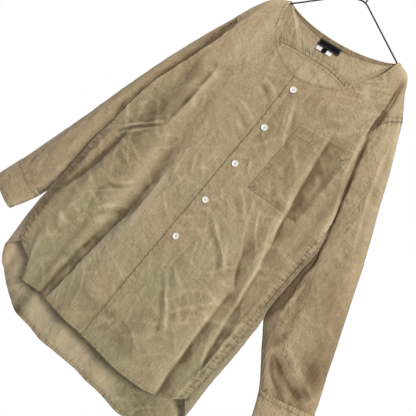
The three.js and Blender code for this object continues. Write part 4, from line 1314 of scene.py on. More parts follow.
# Column of a front along which its grain runs.
FRONT_GRAIN = 40
BACK_ROWS = stretch((YOKE_STATION, 7, 76), (7, HEM_STATION, 172))
YOKE_ROWS = np.append(stretch((0, 0.3, 6), (0.3, 2.7, 24), (2.7, YOKE_STATION, 6)), 3.035)
HALF_COLUMNS = ([(share, 0.0) for share in np.linspace(0, 1, 20, endpoint=False)]
                + [(1.0, across) for across in stretch((0, 1, 42), (1, 2, 6), (2, 3, 8))])
MIDDLE_COLUMN = len(HALF_COLUMNS) - 1
SLEEVE_STEPS = stretch((0, 1.6, 50), (1.6, 6, 126))
CUFF_STEPS = stretch((5.96, 7, 24))
AROUND = stretch((0, 14, 92))[:-1]

# Where each panel's edges are sewn: width of the band, its height, then pitch, height and reach
# of the puckers, all in mm.
SEAMS = table("width height pitch ripple reach", [
    (8, 0.35, 9, 0.7, 9),
    (9, 0.40, 6.5, 0.8, 10),
    (6, 0.35, 12, 0.55, 8),
    (6, 0.30, 11, 0.45, 8),
    (9, 0.45, 12, 1.0, 20),
    (9, 0.40, 7, 0.6, 9),
    (4, 0.35, 9, 0.8, 16),
])
ARMHOLE, SIDE_SEAM, HEM, NECK_EDGE, YOKE_SEAM, UNDERARM, CUFF_SEAM = range(7)

# Widths in mm over which the cloth lies double, and of the bands that their stitches hold.
FELLED_TURN, HEM_TURN, POCKET_HEM, POCKET_TURN, PLACKET_TURN = 8, 6, 24, 5, 3
FELLED_BAND, HEM_BAND, YOKE_BAND, NECK_BAND = 8.4, 6.7, 9.2, 6.8
UNDERARM_BAND, WRIST_BAND, CUFF_EDGE_BAND = 5.2, 2.0, 6.2
PLACKET_BAND, POCKET_BAND, POCKET_HEM_BAND = 5.4, 7.6, 24.2

# Distances in mm of the rows of stitches from the edges or seams that they follow.
FELLED_ROWS, SIDE_ROW, HEM_ROW = (1.8, 7.2), 1.8, 5.5
NECK_ROWS, YOKE_SEAM_ROWS, FACING_ROW = (1.2, 5.6), (2.0, 8.0), 1.2
UNDERARM_ROWS, CUFF_ROWS, CUFF_EDGE_ROW = (-4.0, 4.0), (3.0, 8.0), 5.0
PLACKET_ROW, PLACKET_EDGE_ROW, POCKET_ROWS, POCKET_HEM_ROW = 4.2, 2.0, (1.6, 6.4), 23.0
# Station below the shoulder line at which the rows down the panels begin.
FIRST_STITCH = 0.3

PLACKET_WIDTH = 32.0
# Thickness of the label tapes in metres, then pitch, length and thread of the buttonholes.
TAPE_WALL = 0.0003
BUTTONHOLE_STITCHES = (0.0007, 0.0009, 0.0007)


def sewn(kind, along, distance, seed, amount, where=1.0):
    """Relief of one sewn edge."""
    width, height, pitch, ripple, reach = (SEAMS[name][kind] for name in SEAMS)
    raised = band(distance, width, height)
    return where * (raised + amount * pucker(along, distance, pitch, ripple, reach, seed))


def past_underarm(station):
    """0 along the armhole's seam and 1 along the side seam below it."""
    return smooth((station - UNDERARM_STATION + 0.15) / 0.3)


def spread_column(values, like):
    return np.repeat(values[:, None], like.shape[1], axis=1)


def spread_row(values, like):
    return np.repeat(values[None, :], like.shape[0], axis=0)


def front_shell(side, cloth):
    """One front, with its creases, ledges and pleats."""
    station, across = np.meshgrid(FRONT_ROWS, FRONT_ACROSS, indexing="ij")
    shell = Shell(front_surface(HALVES[side][0], side, across, station), np.array([0, -1, 0]))
    x, z = shell.x, shell.z
    under_arm = past_underarm(station)
    from_seam = shell.from_last
    quiet = smooth(station / 1.5) * (0.25 + 0.75 * smooth(from_seam / 12))
    shell.relief = quiet * crinkle(shell.points, cloth.crumple)
    flat = quiet * (1 - smooth(across - 1))
    shell.relief += flat * crease_height(FRONT_CREASES, x, z)
    ledges = flat * crease_height(LEDGES, x, z, one_sided=True)
    shell.relief += ledges
    # Painted shading from the table, with painted shade in the sunk side of the ledges.
    shell.dye = fold_depth(BODY_PAINTED_SHADING, x, z) - 0.02 * ledges
    shell.relief += smooth(station / 0.5) * smooth(from_seam / 4) * crease_height(PLEATS, x, z)
    along_seam = spread_column(shell.down[:, -1], station)
    start = smooth(station / 0.8)
    seed = 100 + side
    above = start * (1 - under_arm)
    shell.relief += sewn(ARMHOLE, along_seam, from_seam, seed, cloth.pucker, above)
    shell.relief += sewn(SIDE_SEAM, along_seam, from_seam, seed + 3, cloth.pucker, under_arm)
    along_hem = spread_row(shell.across[-1], station)
    shell.relief += sewn(HEM, along_hem, shell.from_bottom, seed + 6, cloth.pucker)
    along_edge = spread_column(shell.down[:, 0], station)
    on_neck = start * (1 - smooth(station - EDGE_STATION + 0.5))
    shell.relief += sewn(NECK_EDGE, along_edge, shell.across, seed + 9, cloth.pucker, on_neck)
    shell.thick = np.maximum.reduce([
        layers(from_seam, FELLED_TURN), layers(shell.from_bottom, HEM_TURN),
        layers(shell.across, HEM_TURN)])
    firm = mix(0.8, 1.0 - 0.15 * side, under_arm)
    shell.sewn_along(from_seam, along_seam, FELLED_BAND, firm)
    shell.sewn_along(shell.from_bottom, along_hem, HEM_BAND, 0.5)
    shell.sewn_along(shell.across, along_edge, NECK_BAND, 0.35, station < EDGE_STATION)
    return shell


def back_half_points(side, stations):
    front, back, _ = HALVES[side]
    share, across = (np.array(values) for values in zip(*HALF_COLUMNS))
    station, share = np.meshgrid(stations, share, indexing="ij")
    across = np.repeat(across[None, :], len(stations), axis=0)
    return back_surface(front, back, side, share, across, station)


def back_points(stations):
    """Both halves of the back or yoke, from the right side seam to the left."""
    right = back_half_points(-1, stations)[:, :0:-1]
    return np.concatenate([right, back_half_points(1, stations)], axis=1)


def back_shell(cloth):
    """The back below the yoke, with its tail."""
    shell = Shell(back_points(BACK_ROWS), np.array([0, 1, 0]))
    station = spread_column(BACK_ROWS, shell.down)
    x, z = shell.x, shell.z
    from_side, along_side = shell.from_side, shell.along_side
    quiet = 0.25 + 0.75 * smooth(from_side / 12)
    shell.relief = quiet * crinkle(shell.points, cloth.crumple)
    shell.relief += quiet * crease_height(BACK_CREASES, x, z)
    # Painted shading: painted light on the tail and inside the neck, painted shade under the front
    # hem and along the neck edge.
    shell.dye = fold_depth(BACK_PAINTED_SHADING, x, z)
    under_arm = past_underarm(station)
    shell.relief += sewn(ARMHOLE, along_side, from_side, 210, cloth.pucker, 1 - under_arm)
    shell.relief += sewn(SIDE_SEAM, along_side, from_side, 213, cloth.pucker, under_arm)
    along_hem, along_yoke = (spread_row(shell.across[row], x) for row in (-1, 0))
    shell.relief += sewn(HEM, along_hem, shell.from_bottom, 216, cloth.pucker)
    shell.relief += sewn(YOKE_SEAM, along_yoke, shell.down, 219, cloth.pucker)
    shell.thick = np.maximum(layers(from_side, FELLED_TURN), layers(shell.from_bottom, HEM_TURN))
    shell.sewn_along(from_side, along_side, FELLED_BAND)
    shell.sewn_along(shell.from_bottom, along_hem, HEM_BAND, 0.5)
    shell.sewn_along(shell.down, along_yoke, YOKE_BAND, 0.4)
    return shell


def yoke_shell(cloth):
    """The double yoke, which lies over the hanger's arms and the top of the back."""
    shell = Shell(back_points(YOKE_ROWS), np.array([0, 1, 0.5]))
    station = spread_column(YOKE_ROWS, shell.down)
    quiet = smooth(station / 1.2)
    from_side, along_side = shell.from_side, shell.along_side
    shell.relief = 0.6 * quiet * crinkle(shell.points, cloth.crumple)
    # Painted light over the whole yoke, which is seen inside the neck.
    shell.dye -= 0.17
    shell.relief += sewn(ARMHOLE, along_side, from_side, 220, cloth.pucker, quiet)
    along_seam = spread_row(shell.across[-1], station)
    seam = cloth.pucker * pucker(along_seam, shell.from_bottom, 12, 1.0, 16, 219)
    shell.relief += seam + band(shell.from_bottom, 7, 0.3)
    shell.thick += 1
    shell.sewn_along(from_side, along_side, FELLED_BAND, 1.0, station > FIRST_STITCH)
    shell.sewn_along(shell.from_bottom, along_seam, YOKE_BAND, 0.45)
    return shell


def sleeve_shell(side, steps, cloth):
    """A sleeve or a cuff, whose steps say how far down the arm it goes."""
    front, back, sleeve = HALVES[side]
    step, around = np.meshgrid(steps, AROUND, indexing="ij")
    shell = Shell(sleeve_surface(front, back, sleeve, side, around, step), None, closed=True)
    shell.relief = smooth(shell.down / 14) * 0.6 * crinkle(shell.points, cloth.crumple)
    return shell


def underarm_column(side):
    """The column of the underarm seam, which rolls forward on the left sleeve."""
    return int(np.argmin(np.abs(AROUND - UNDERARM_STATION + (0.7 if side > 0 else 0))))


def dress_sleeve(shell, side, cloth):
    """Adds a sleeve's creases, painted shading, seams and the gathers above its cuff."""
    x, z = shell.x, shell.z
    facing = -shell.normals[..., 1]
    calm = smooth(shell.down / 20) * (0.4 + 0.6 * smooth(shell.from_bottom / 10))
    shell.relief += calm * smooth(facing / 0.5) * crease_height(SLEEVE_CREASES, x, z)
    # Painted shading on the sleeves' fronts, mostly painted shade beside the body and above the
    # cuffs.
    shell.dye = smooth(facing / 0.3) * fold_depth(SLEEVE_PAINTED_SHADING, x, z)
    shell.relief += calm * smooth(-facing / 0.5) * crease_height(SLEEVE_BACK_CREASES, x, z)
    girth = shell.across
    seed = 300 + 10 * side
    shell.relief += cloth.pucker * pucker(girth, shell.down, 9, 0.5, 8, seed)
    low = underarm_column(side)
    from_under = np.abs(shell.across - shell.across[:, low:low + 1])
    ends = smooth(shell.down / 10) * smooth(shell.from_bottom / 6)
    shell.relief += sewn(UNDERARM, shell.down, from_under, seed + 1, cloth.pucker, ends)
    shell.relief += sewn(CUFF_SEAM, girth, shell.from_bottom, seed + 2, cloth.pucker)
    gathers = pucker(girth, shell.from_bottom, 24, 2.6, 42, seed + 3)
    shell.relief += gathers * smooth(shell.from_bottom / 14)
    shell.thick = layers(from_under, FELLED_TURN)
    shell.sewn_along(from_under, shell.down, UNDERARM_BAND)
    shell.sewn_along(shell.down, girth, WRIST_BAND)
    shell.sewn_along(shell.from_bottom, girth, WRIST_BAND)


def cuff_shell(side, cloth):
    """A double cuff, which stands off the sleeve's end in its middle."""
    shell = sleeve_shell(side, CUFF_STEPS, cloth)
    shell.relief *= 0.55
    shell.relief += 0.7 + 0.6 * np.sin(math.pi * np.clip(shell.down / 62, 0, 1))
    seed = 340 + 10 * side
    shell.relief += sewn(NECK_EDGE, shell.across, shell.down, seed, cloth.pucker)
    shell.relief += sewn(HEM, shell.across, shell.from_bottom, seed + 1, 0.7 * cloth.pucker)
    shell.thick += 1
    shell.sewn_along(shell.down, shell.across, YOKE_BAND, 0.6)
    shell.sewn_along(shell.from_bottom, shell.across, CUFF_EDGE_BAND, 0.6)
    return shell


def placket_shell(left, cloth):
    """The band on the left front's edge, which carries the buttonholes."""
    rows = np.flatnonzero(FRONT_ROWS >= EDGE_STATION)
    away = np.linspace(0, PLACKET_WIDTH, 13)
    lines = [left.line_down(left.across, distance, rows)[0] for distance in away]
    shell = Shell(np.stack(lines, axis=1), np.array([0, -1, 0]))
    for distance, fade, seed in ((shell.across, 1, 400),
                                 (shell.from_last, smooth(shell.from_last / 6), 401)):
        shell.relief += fade * cloth.pucker * pucker(shell.down, distance, 8, 1.1, 7, seed)
    shell.relief += mix(0.1, -0.1, smooth(shell.across / (PLACKET_WIDTH - 2)))
    shell.relief += band(shell.across, 4, 0.12)
    shell.thick = layers(shell.across, PLACKET_TURN)
    shell.sewn_along(shell.across, shell.down, PLACKET_BAND, 0.5)
    return shell


def find_places(shell, x, z):
    """Fractional rows and columns of a panel at places (x, z), from the nearest grid point."""
    flat = shell.points[..., (0, 2)]
    turned_under = shell.normals[..., 1] * shell.normals[..., 1].mean() < 0
    shown = np.where(turned_under[..., None], 1e4, flat).reshape(-1, 2)
    slopes = np.stack([np.gradient(flat, axis=axis) for axis in (0, 1)], -1)
    found = []
    for spot in zip(x.ravel(), z.ravel()):
        i, j = divmod(int(np.argmin(((shown - spot) ** 2).sum(-1))), flat.shape[1])
        off = np.linalg.solve(slopes[i, j], spot - flat[i, j])
        found.append((i, j) + np.clip(off, -1, 1))
    return np.array(found).T


def patch_shell(panel, x, z, lift):
    """A shell that faces forward, laid on a panel over a grid of places (x, z)."""
    points = panel.sample(*find_places(panel, x, z), lift)[0].reshape(*x.shape, 3)
    return Shell(points, np.array([0, -1, 0]))


def pocket_shell(left, cloth):
    """The patch pocket. Its upper inner corner is at (56, -196), and its upper edge rises by
    12 mm to the outer one."""
    share, drop = np.meshgrid(stretch((0, 0.008, 1), (0.008, 0.992, 40), (0.992, 1, 1)),
                              stretch((0, 0.006, 1), (0.006, 0.994, 54), (0.994, 1, 1)))
    x = mix(56, 162, share) - mix(3, 4, share) * drop
    z = mix(-196 + 12 * share, -341 + 1.5 * share, drop)
    shell = patch_shell(left, x, z, 0.9)
    sides = shell.from_side
    edge = np.minimum(sides, shell.from_bottom)
    body = smooth(edge / 14) * smooth(shell.down / 8)
    shell.relief = 0.7 * body + 0.35 * body * noise(shell.points, 22, 61)
    along = np.where(shell.from_bottom < sides, shell.across, shell.down)
    shell.relief += cloth.pucker * pucker(along, edge, 12, 1.0, 8, 411)
    shell.relief += band(shell.down, POCKET_HEM, 0.35)
    shell.relief += 1.2 * np.exp(-shell.down / 5) * smooth(sides / 12)
    from_hem = np.abs(shell.down - POCKET_HEM)
    shell.relief += cloth.pucker * pucker(shell.across, from_hem, 13, 0.8, 7, 412)
    x, z = shell.x, shell.z
    shell.relief += body * crease_height(POCKET_CREASES, x, z)
    # Painted shade over the pocket, a painted highlight along its top edge, and painted shade in
    # the sunk side of the ledges.
    shell.dye = 0.07 - 0.25 * np.exp(-(shell.down / 2.2) ** 2) + fold_depth(BODY_PAINTED_SHADING, x, z)
    shell.dye -= 0.05 * crease_height(LEDGES, x, z, one_sided=True)
    shell.thick = np.maximum(layers(shell.down, POCKET_HEM), layers(edge, POCKET_TURN))
    shell.sewn_along(edge, along, POCKET_BAND, 0.4)
    shell.sewn_along(shell.down, shell.across, POCKET_HEM_BAND, 0.35)
    return shell


def facing_shell(yoke):
    """The narrow band inside the back neck."""
    columns = range(MIDDLE_COLUMN - 19, MIDDLE_COLUMN + 20)
    lines = [yoke.line_across(yoke.down, distance, columns, -0.85)[0]
             for distance in np.linspace(0.4, 10, 6)]
    shell = Shell(np.stack(lines), np.array([0, -1, 0]))
    shell.relief += band(shell.from_bottom, 1.5, 0.2)
    return shell


def label_shell(yoke, x, z, width, height, lift, curl):
    """A flat tape sewn on at its top, whose lower edge stands off the cloth."""
    share, drop = np.meshgrid(np.linspace(-0.5, 0.5, 25), np.linspace(0, 1, 9))
    shell = patch_shell(yoke, x + share * width, z + (0.5 - drop) * height, -lift)
    shell.relief += curl * drop ** 2 + 0.25 * noise(shell.points, 14, 71) * drop
    return shell


# ---- Sewing ----

def stitch_tree(thread_material):
    """Lays stitches along the edges of a mesh, which carries the cloth's normals as lean."""
    tree = bpy.data.node_groups.new("Stitches along seams", "GeometryNodeTree")
    face = tree.interface
    face.new_socket(name="Seams", in_out="INPUT", socket_type="NodeSocketGeometry")
    for name, value in (("Pitch", 0.003), ("Length", 0.0023), ("Thread", 0.0004)):
        socket = face.new_socket(name=name, in_out="INPUT", socket_type="NodeSocketFloat")
        socket.default_value = value
    seed = face.new_socket(name="Seed", in_out="INPUT", socket_type="NodeSocketInt")
    seed.default_value = 7
    face.new_socket(name="Stitches", in_out="OUTPUT", socket_type="NodeSocketGeometry")

    def add(kind, inputs=None, **settings):
        """Adds a node, sets or links its inputs and gives its outputs."""
        made = tree.nodes.new(kind)
        for name, value in settings.items():
            setattr(made, name, value)
        for name, value in (inputs or {}).items():
            if isinstance(value, bpy.types.NodeSocket):
                tree.links.new(value, made.inputs[name])
            else:
                made.inputs[name].default_value = value
        return made.outputs

    given = add("NodeGroupInput")
    curve = add("GeometryNodeMeshToCurve", {"Mesh": given["Seams"]})
    spaced = add("GeometryNodeResampleCurve", {
        "Curve": curve["Curve"], "Length": given["Pitch"]}, mode="LENGTH")
    grain = add("GeometryNodeMeshIcoSphere", {"Radius": 0.5, "Subdivisions": 1})
    size = add("ShaderNodeCombineXYZ", {
        "X": given["Length"], "Y": given["Thread"], "Z": given["Thread"]})
    shaped = add("GeometryNodeTransform", {"Geometry": grain["Mesh"], "Scale": size["Vector"]})
    tangent = add("GeometryNodeInputTangent")
    lean = add("GeometryNodeInputNamedAttribute", {"Name": "lean"}, data_type="FLOAT_VECTOR")
    along = add("FunctionNodeAlignRotationToVector", {"Vector": tangent["Tangent"]}, axis="X")
    upright = add("FunctionNodeAlignRotationToVector", {
        "Rotation": along["Rotation"], "Vector": lean["Attribute"]}, axis="Z", pivot_axis="X")
    uneven = add("FunctionNodeRandomValue", {2: 0.85, 3: 1.15, "Seed": given["Seed"]},
                 data_type="FLOAT")
    placed = add("GeometryNodeInstanceOnPoints", {
        "Points": spaced["Curve"], "Instance": shaped["Geometry"],
        "Rotation": upright["Rotation"], "Scale": uneven[1]})
    real = add("GeometryNodeRealizeInstances", {"Geometry": placed["Instances"]})
    finish = add("GeometryNodeSetMaterial", {
        "Geometry": real["Geometry"], "Material": thread_material})
    add("NodeGroupOutput", {"Stitches": finish["Geometry"]})
    return tree


def sew(name, lines, pitch, stitch, thread):
    """Turns seam lines into one plain mesh of stitches, as an object of its own."""
    tree = stitch_tree(materials["thread"])
    points, leans, edges = [], [], []
    for line, normals in lines:
        first = len(points)
        points += to_metres(line).tolist()
        leans += normals.tolist()
        edges += [(first + k, first + k + 1) for k in range(len(line) - 1)]
    mesh = bpy.data.meshes.new(name + " seams")
    mesh.from_pydata(points, edges, [])
    lean = mesh.attributes.new("lean", "FLOAT_VECTOR", "POINT")
    lean.data.foreach_set("vector", np.array(leans, np.float32).ravel())
    guide = add_object(name + " seams", mesh)
    sewing = guide.modifiers.new("Stitches", "NODES")
    sewing.node_group = tree
    sizes = {"Pitch": pitch, "Length": stitch, "Thread": thread}
    for socket in tree.interface.items_tree:
        if socket.in_out == "INPUT" and socket.name in sizes:
            sewing[socket.identifier] = sizes[socket.name]
    made = converted(guide)
    made.name = name
    made.materials.clear()
    smooth_faces(made)
    finish_piece(new_object(name, made, materials["thread"]), "cloth")


def lift_line(line, height):
    points, normals = line
    return points + normals * height, normals


def on_both_faces(line, height):
    points, normals = line
    return [lift_line(line, height), lift_line((points, -normals), height)]


# ---- Operators ----


def make_panel(name, shell, cloth, straight=0):
    """Adds a panel's cloth in place of the solid of its name, and keeps its shell."""
    shells[name] = shell
    piece = cloth_piece(name + "_cloth", shell, materials["cloth"], cloth.wall, straight)
    finish_piece(piece, "cloth", name)
    return shell


class SHIRT_OT_fronts(bpy.types.Operator):
    """Makes the two fronts, whose sides fold over at the hanger's tips"""
    bl_idname = "shirt.fronts"
    bl_label = "Fronts"

    def execute(self, context):
        cloth = context.scene.shirt_cloth
        materials["cloth"] = cotton(cloth)
        materials["thread"] = sewing_thread(cloth)
        half = cloth.wall / MM / 2 + 0.15
        below_top = np.flatnonzero(FRONT_ROWS > FIRST_STITCH)
        neck = below_top[FRONT_ROWS[below_top] < EDGE_STATION - 0.25]
        for name, side in SIDES:
            shell = make_panel("front_" + name, front_shell(side, cloth), cloth,
                               FRONT_GRAIN)
            for away in FELLED_ROWS:
                line = shell.line_down(shell.from_last, away, below_top)
                seam_lines.append(lift_line(line, half))
            columns = range(0 if side > 0 else 6, shell.points.shape[1])
            line = shell.line_across(shell.from_bottom, HEM_ROW, columns)
            seam_lines.append(lift_line(line, half + 0.2))
            for away in NECK_ROWS:
                seam_lines.append(lift_line(shell.line_down(shell.across, away, neck), half + 0.2))
        return {"FINISHED"}


class SHIRT_OT_back(bpy.types.Operator):
    """Makes the back with its longer tail, and the double yoke over it"""
    bl_idname = "shirt.back"
    bl_label = "Back and yoke"

    def execute(self, context):
        cloth = context.scene.shirt_cloth
        back = make_panel("back", back_shell(cloth), cloth, MIDDLE_COLUMN)
        yoke = make_panel("yoke", yoke_shell(cloth), cloth, MIDDLE_COLUMN)
        half = cloth.wall / MM + 0.12
        for away in YOKE_SEAM_ROWS:
            seam_lines.extend(on_both_faces(yoke.line_across(yoke.from_bottom, away), half))
        for shell, rows in ((back, None), (yoke, np.flatnonzero(YOKE_ROWS > FIRST_STITCH))):
            for measure in (shell.across, shell.from_last):
                seam_lines.append(lift_line(shell.line_down(measure, SIDE_ROW, rows), half))
        seam_lines.extend(on_both_faces(back.line_across(back.from_bottom, HEM_ROW), half))
        return {"FINISHED"}


class SHIRT_OT_sleeves(bpy.types.Operator):
    """Makes the sleeves and their double cuffs"""
    bl_idname = "shirt.sleeves"
    bl_label = "Sleeves and cuffs"

    def execute(self, context):
        cloth = context.scene.shirt_cloth
        half = cloth.wall / MM / 2 + 0.15
        for name, side in SIDES:
            shell = sleeve_shell(side, SLEEVE_STEPS, cloth)
            dress_sleeve(shell, side, cloth)
            make_panel("sleeve_" + name, shell, cloth)
            cuff = make_panel("cuff_" + name, cuff_shell(side, cloth),
                              cloth)
            low = underarm_column(side)
            from_under = shell.across - shell.across[:, low:low + 1]
            rows = np.flatnonzero(SLEEVE_STEPS > 0.1)
            for away in UNDERARM_ROWS:
                wrist_lines.append(lift_line(shell.line_down(from_under, away, rows), half))
            lines = [cuff.line_across(cuff.down, away) for away in CUFF_ROWS]
            lines.append(cuff.line_across(cuff.from_bottom, CUFF_EDGE_ROW))
            wrist_lines.extend(lift_line(line, half + 0.4) for line in lines)
        return {"FINISHED"}


class SHIRT_OT_front_details(bpy.types.Operator):
    """Makes the placket and the chest pocket on the left front"""
    bl_idname = "shirt.front_details"
    bl_label = "Placket and pocket"

    def execute(self, context):
        cloth = context.scene.shirt_cloth
        left = shells["front_left"]
        placket, pocket = (
            make_panel(name, shell, cloth)
            for name, shell in (("placket", placket_shell(left, cloth)),
                                ("pocket", pocket_shell(left, cloth))))
        lines = [placket.line_down(placket.across, PLACKET_ROW),
                 placket.line_down(placket.from_last, PLACKET_EDGE_ROW)]
        lines += [pocket.line_down(measure, away)
                  for measure in (pocket.across, pocket.from_last) for away in POCKET_ROWS]
        lines += [pocket.line_across(pocket.from_bottom, away) for away in POCKET_ROWS]
        lines.append(pocket.line_across(pocket.down, POCKET_HEM_ROW))
        seam_lines.extend(lift_line(line, cloth.wall / MM / 2 + 0.25) for line in lines)
        return {"FINISHED"}


class SHIRT_OT_neck(bpy.types.Operator):
    """Makes the band inside the back neck and the plain label tapes below it"""
    bl_idname = "shirt.neck"
    bl_label = "Neck band and labels"

    def execute(self, context):
        cloth = context.scene.shirt_cloth
        yoke = shells["yoke"]
        facing = make_panel("neck_facing", facing_shell(yoke), cloth)
        line = facing.line_across(facing.from_bottom, FACING_ROW)
        seam_lines.append(lift_line(line, 0.45))
        white = woven_tape("white tape", (0.78, 0.78, 0.76), (0.86, 0.86, 0.85))
        ground, rib = (0.004, 0.004, 0.005), (0.010, 0.010, 0.011)
        border = (0.047, 0.013, 0.0014, 0.0005, (0.10, 0.10, 0.10))
        black = woven_tape("black woven tape", ground, rib, border)
        plain = woven_tape("black tape", ground, rib)
        tapes = (
            ("label_care", white, -11.5, -40.5, 34, 12, 1.3, 1.6, "label_white"),
            ("label_size", plain, -10.5, -41.5, 10, 10, 2.6, 1.6, "label_black"),
            ("label_main", black, -5.5, -31.5, 47, 13, 3.6, 0.8, "label_black"),
        )
        for node, material, x, z, width, height, lift, curl, slot in tapes:
            shell = label_shell(yoke, x, z, width, height, lift, curl)
            piece = cloth_piece(node + "_tape", shell, material, TAPE_WALL)
            finish_piece(piece, slot, node)
        return {"FINISHED"}


# A button's outline from the middle of its back, in shares of its radius and its thickness.
BUTTON_PROFILE = [(0, 0), (0.82, 0), (0.95, 0.12), (1, 0.45), (0.97, 0.82), (0.9, 0.98),
                  (0.8, 1.0), (0.72, 0.92), (0.64, 0.66), (0.5, 0.58), (0, 0.56)]
# Radius of a button's holes in shares of its diameter, and how far from its middle they lie in
# shares of its radius.
HOLE_SIZE, HOLE_PLACE = 0.055, 0.26


def button_mesh(diameter, thickness):
    """A button with a rounded rim, a sunk middle and four holes, its back at z = 0."""
    radius, hole = diameter / 2, diameter * HOLE_SIZE
    shape = bmesh.new()
    verts = [shape.verts.new((r * radius, 0, h * thickness)) for r, h in BUTTON_PROFILE]
    edges = [shape.edges.new(pair) for pair in zip(verts, verts[1:])]
    bmesh.ops.spin(shape, geom=verts + edges, cent=(0, 0, 0), axis=(0, 0, 1), angle=2 * math.pi,
                   steps=40, use_merge=True)
    bmesh.ops.remove_doubles(shape, verts=shape.verts, dist=1e-6)
    bmesh.ops.recalc_face_normals(shape, faces=shape.faces)
    blank = add_object("blank", from_bmesh("button body", shape))
    drill = bmesh.new()
    for k in range(4):
        angle = math.pi * (0.25 + 0.5 * k)
        centre = Matrix.Translation((HOLE_PLACE * radius * math.cos(angle),
                                     HOLE_PLACE * radius * math.sin(angle), thickness / 2))
        bmesh.ops.create_cone(drill, cap_ends=True, segments=16, radius1=hole, radius2=hole,
                              depth=thickness * 2, matrix=centre)
    cutter = add_object("cutter", from_bmesh("button holes", drill))
    cut = blank.modifiers.new("Holes", "BOOLEAN")
    cut.operation, cut.solver, cut.object = "DIFFERENCE", "EXACT", cutter
    made = converted(blank)
    bpy.data.objects.remove(cutter)
    return made


def sewing_on(diameter, thickness):
    """The thread of one button: two crossed bars over the holes and two below."""
    shape = bmesh.new()
    reach, bar = HOLE_PLACE * diameter / 2, 0.00035
    squeeze = Matrix.Diagonal((reach, bar, bar * 0.8, 1))
    for angle in (45, 135):
        turn = Matrix.Rotation(math.radians(angle), 4, "Z")
        for level in (0.60 * thickness, -0.0001):
            matrix = Matrix.Translation((0, 0, level)) @ turn @ squeeze
            bmesh.ops.create_icosphere(shape, subdivisions=2, radius=1, matrix=matrix)
    mesh = from_bmesh("button thread", shape)
    smooth_faces(mesh)
    return mesh


BUTTON_HEIGHTS = (-150, -236, -320, -404, -488)
# Column of the placket on which the buttonholes lie, and that of a cuff around it.
PLACKET_MIDDLE, CUFF_BUTTON_AROUND = 7.2, 11.5


class SHIRT_OT_buttons(bpy.types.Operator):
    """Makes the five front buttons, the cuff buttons and their thread"""
    bl_idname = "shirt.buttons"
    bl_label = "Buttons"

    def execute(self, context):
        sizes, cloth = context.scene.shirt_buttons, context.scene.shirt_cloth
        material = shell_plastic(sizes)
        placket = shells["placket"]
        half = cloth.wall / MM / 2
        spots = []
        holes = []
        for k, z in enumerate(BUTTON_HEIGHTS):
            row = np.interp(-z, -placket.z[:, 6], np.arange(placket.points.shape[0]))
            rows = row + np.linspace(-2.2, 2.2, 9)
            for aside in (-0.39, 0.39):
                holes.append(placket.sample(rows, np.full(9, PLACKET_MIDDLE + aside), half + 0.2))
            point, normal = placket.sample([row], [PLACKET_MIDDLE], half + 0.9)
            lean = unit(normal + 2 * np.array([[0.0, -1, 0.02]]))
            spots.append((f"button_{k + 1}", sizes.front_diameter, point[0], lean[0], 8 + 23 * k))
        around = np.interp(CUFF_BUTTON_AROUND, AROUND, np.arange(len(AROUND)))
        for name in ("left", "right"):
            point, normal = shells["cuff_" + name].sample([12.0], [around], half + 1.0)
            spots.append(("cuff_button_" + name, sizes.cuff_diameter, point[0], normal[0], 30))
        for node, diameter, point, lean, turn in spots:
            stand = Vector(lean).to_track_quat("Z", "Y").to_matrix().to_4x4()
            place_at = (Matrix.Translation(to_metres(point[None])[0]) @ stand
                        @ Matrix.Rotation(math.radians(turn), 4, "Z"))
            body = button_mesh(diameter, sizes.thickness)
            body.transform(place_at)
            piece = new_object(node + "_disc", body, material)
            finish_piece(piece, "button", node)
            smooth_faces(body)
            body.set_sharp_from_angle(angle=math.radians(38))
            thread = sewing_on(diameter, sizes.thickness)
            thread.transform(place_at)
            finish_piece(new_object(node + "_thread", thread, materials["thread"]), "cloth")
        sew("buttonholes", holes, *BUTTONHOLE_STITCHES)
        return {"FINISHED"}


class SHIRT_OT_stitches(bpy.types.Operator):
    """Sews the seams and hems with rows of stitches"""
    bl_idname = "shirt.stitches"
    bl_label = "Stitches"

    def execute(self, context):
        cloth = context.scene.shirt_cloth
        for name, lines in (("body_stitches", seam_lines), ("sleeve_stitches", wrist_lines)):
            sew(name, lines, cloth.stitch_pitch, cloth.stitch_length, cloth.thread)
        return {"FINISHED"}


def bezier(points, steps):
    """Points along the curve that a few control points pull."""
    degree = len(points) - 1
    return [sum((point * (math.comb(degree, k) * (1 - t) ** (degree - k) * t ** k)
                 for k, point in enumerate(points)), Vector())
            for t in (step / steps for step in range(steps + 1))]


# In mm, along the wire's middle.
HOOK_RADIUS, WIRE_HALF = 17.5, 1.5


def wire_line():
    """The hanger's arms and its hook, in metres."""
    under_neck = 4.5
    slopes = {side: (APEX_Z - front["edgeZ"][0] + under_neck) / front["edgeX"][0]
              for side, (front, *_) in HALVES.items()}

    def arm(x, rise=0):
        """A place on the straight arms, or above them."""
        return Vector((x, 0, NECK_Z + APEX_Z - slopes[1 if x > 0 else -1] * abs(x) + rise)) * MM

    def tip(side):
        return Vector((side * 136, 0, arm(134 * side).z / MM - 15)) * MM

    arms = (bezier((tip(-1), arm(-134), arm(-127)), 10)
            + bezier((arm(-113), arm(-88, 3), arm(-40, 22), arm(-12, 6)), 24)
            + bezier((arm(-12, 6), arm(-3, 3), arm(7)), 10)[1:]
            + bezier((arm(127), arm(134), tip(1)), 10))
    centre = Vector((0, 0, WIRE_HALF - HOOK_RADIUS))
    angles = (mix(1.08 * math.pi, -0.3 * math.pi, k / 32) for k in range(33))
    hook = [(centre + HOOK_RADIUS * Vector((math.cos(angle), 0, math.sin(angle)))) * MM
            for angle in angles]
    low = centre.z - HOOK_RADIUS
    stem = [Vector((x, 0, low - drop)) * MM for x, drop in ((1.5, 6), (0, 22))]
    hook += bezier((hook[-1], *stem), 10)[1:]
    hook.append(Vector((0, 0, NECK_Z + APEX_Z - 1)) * MM)
    return arms, hook


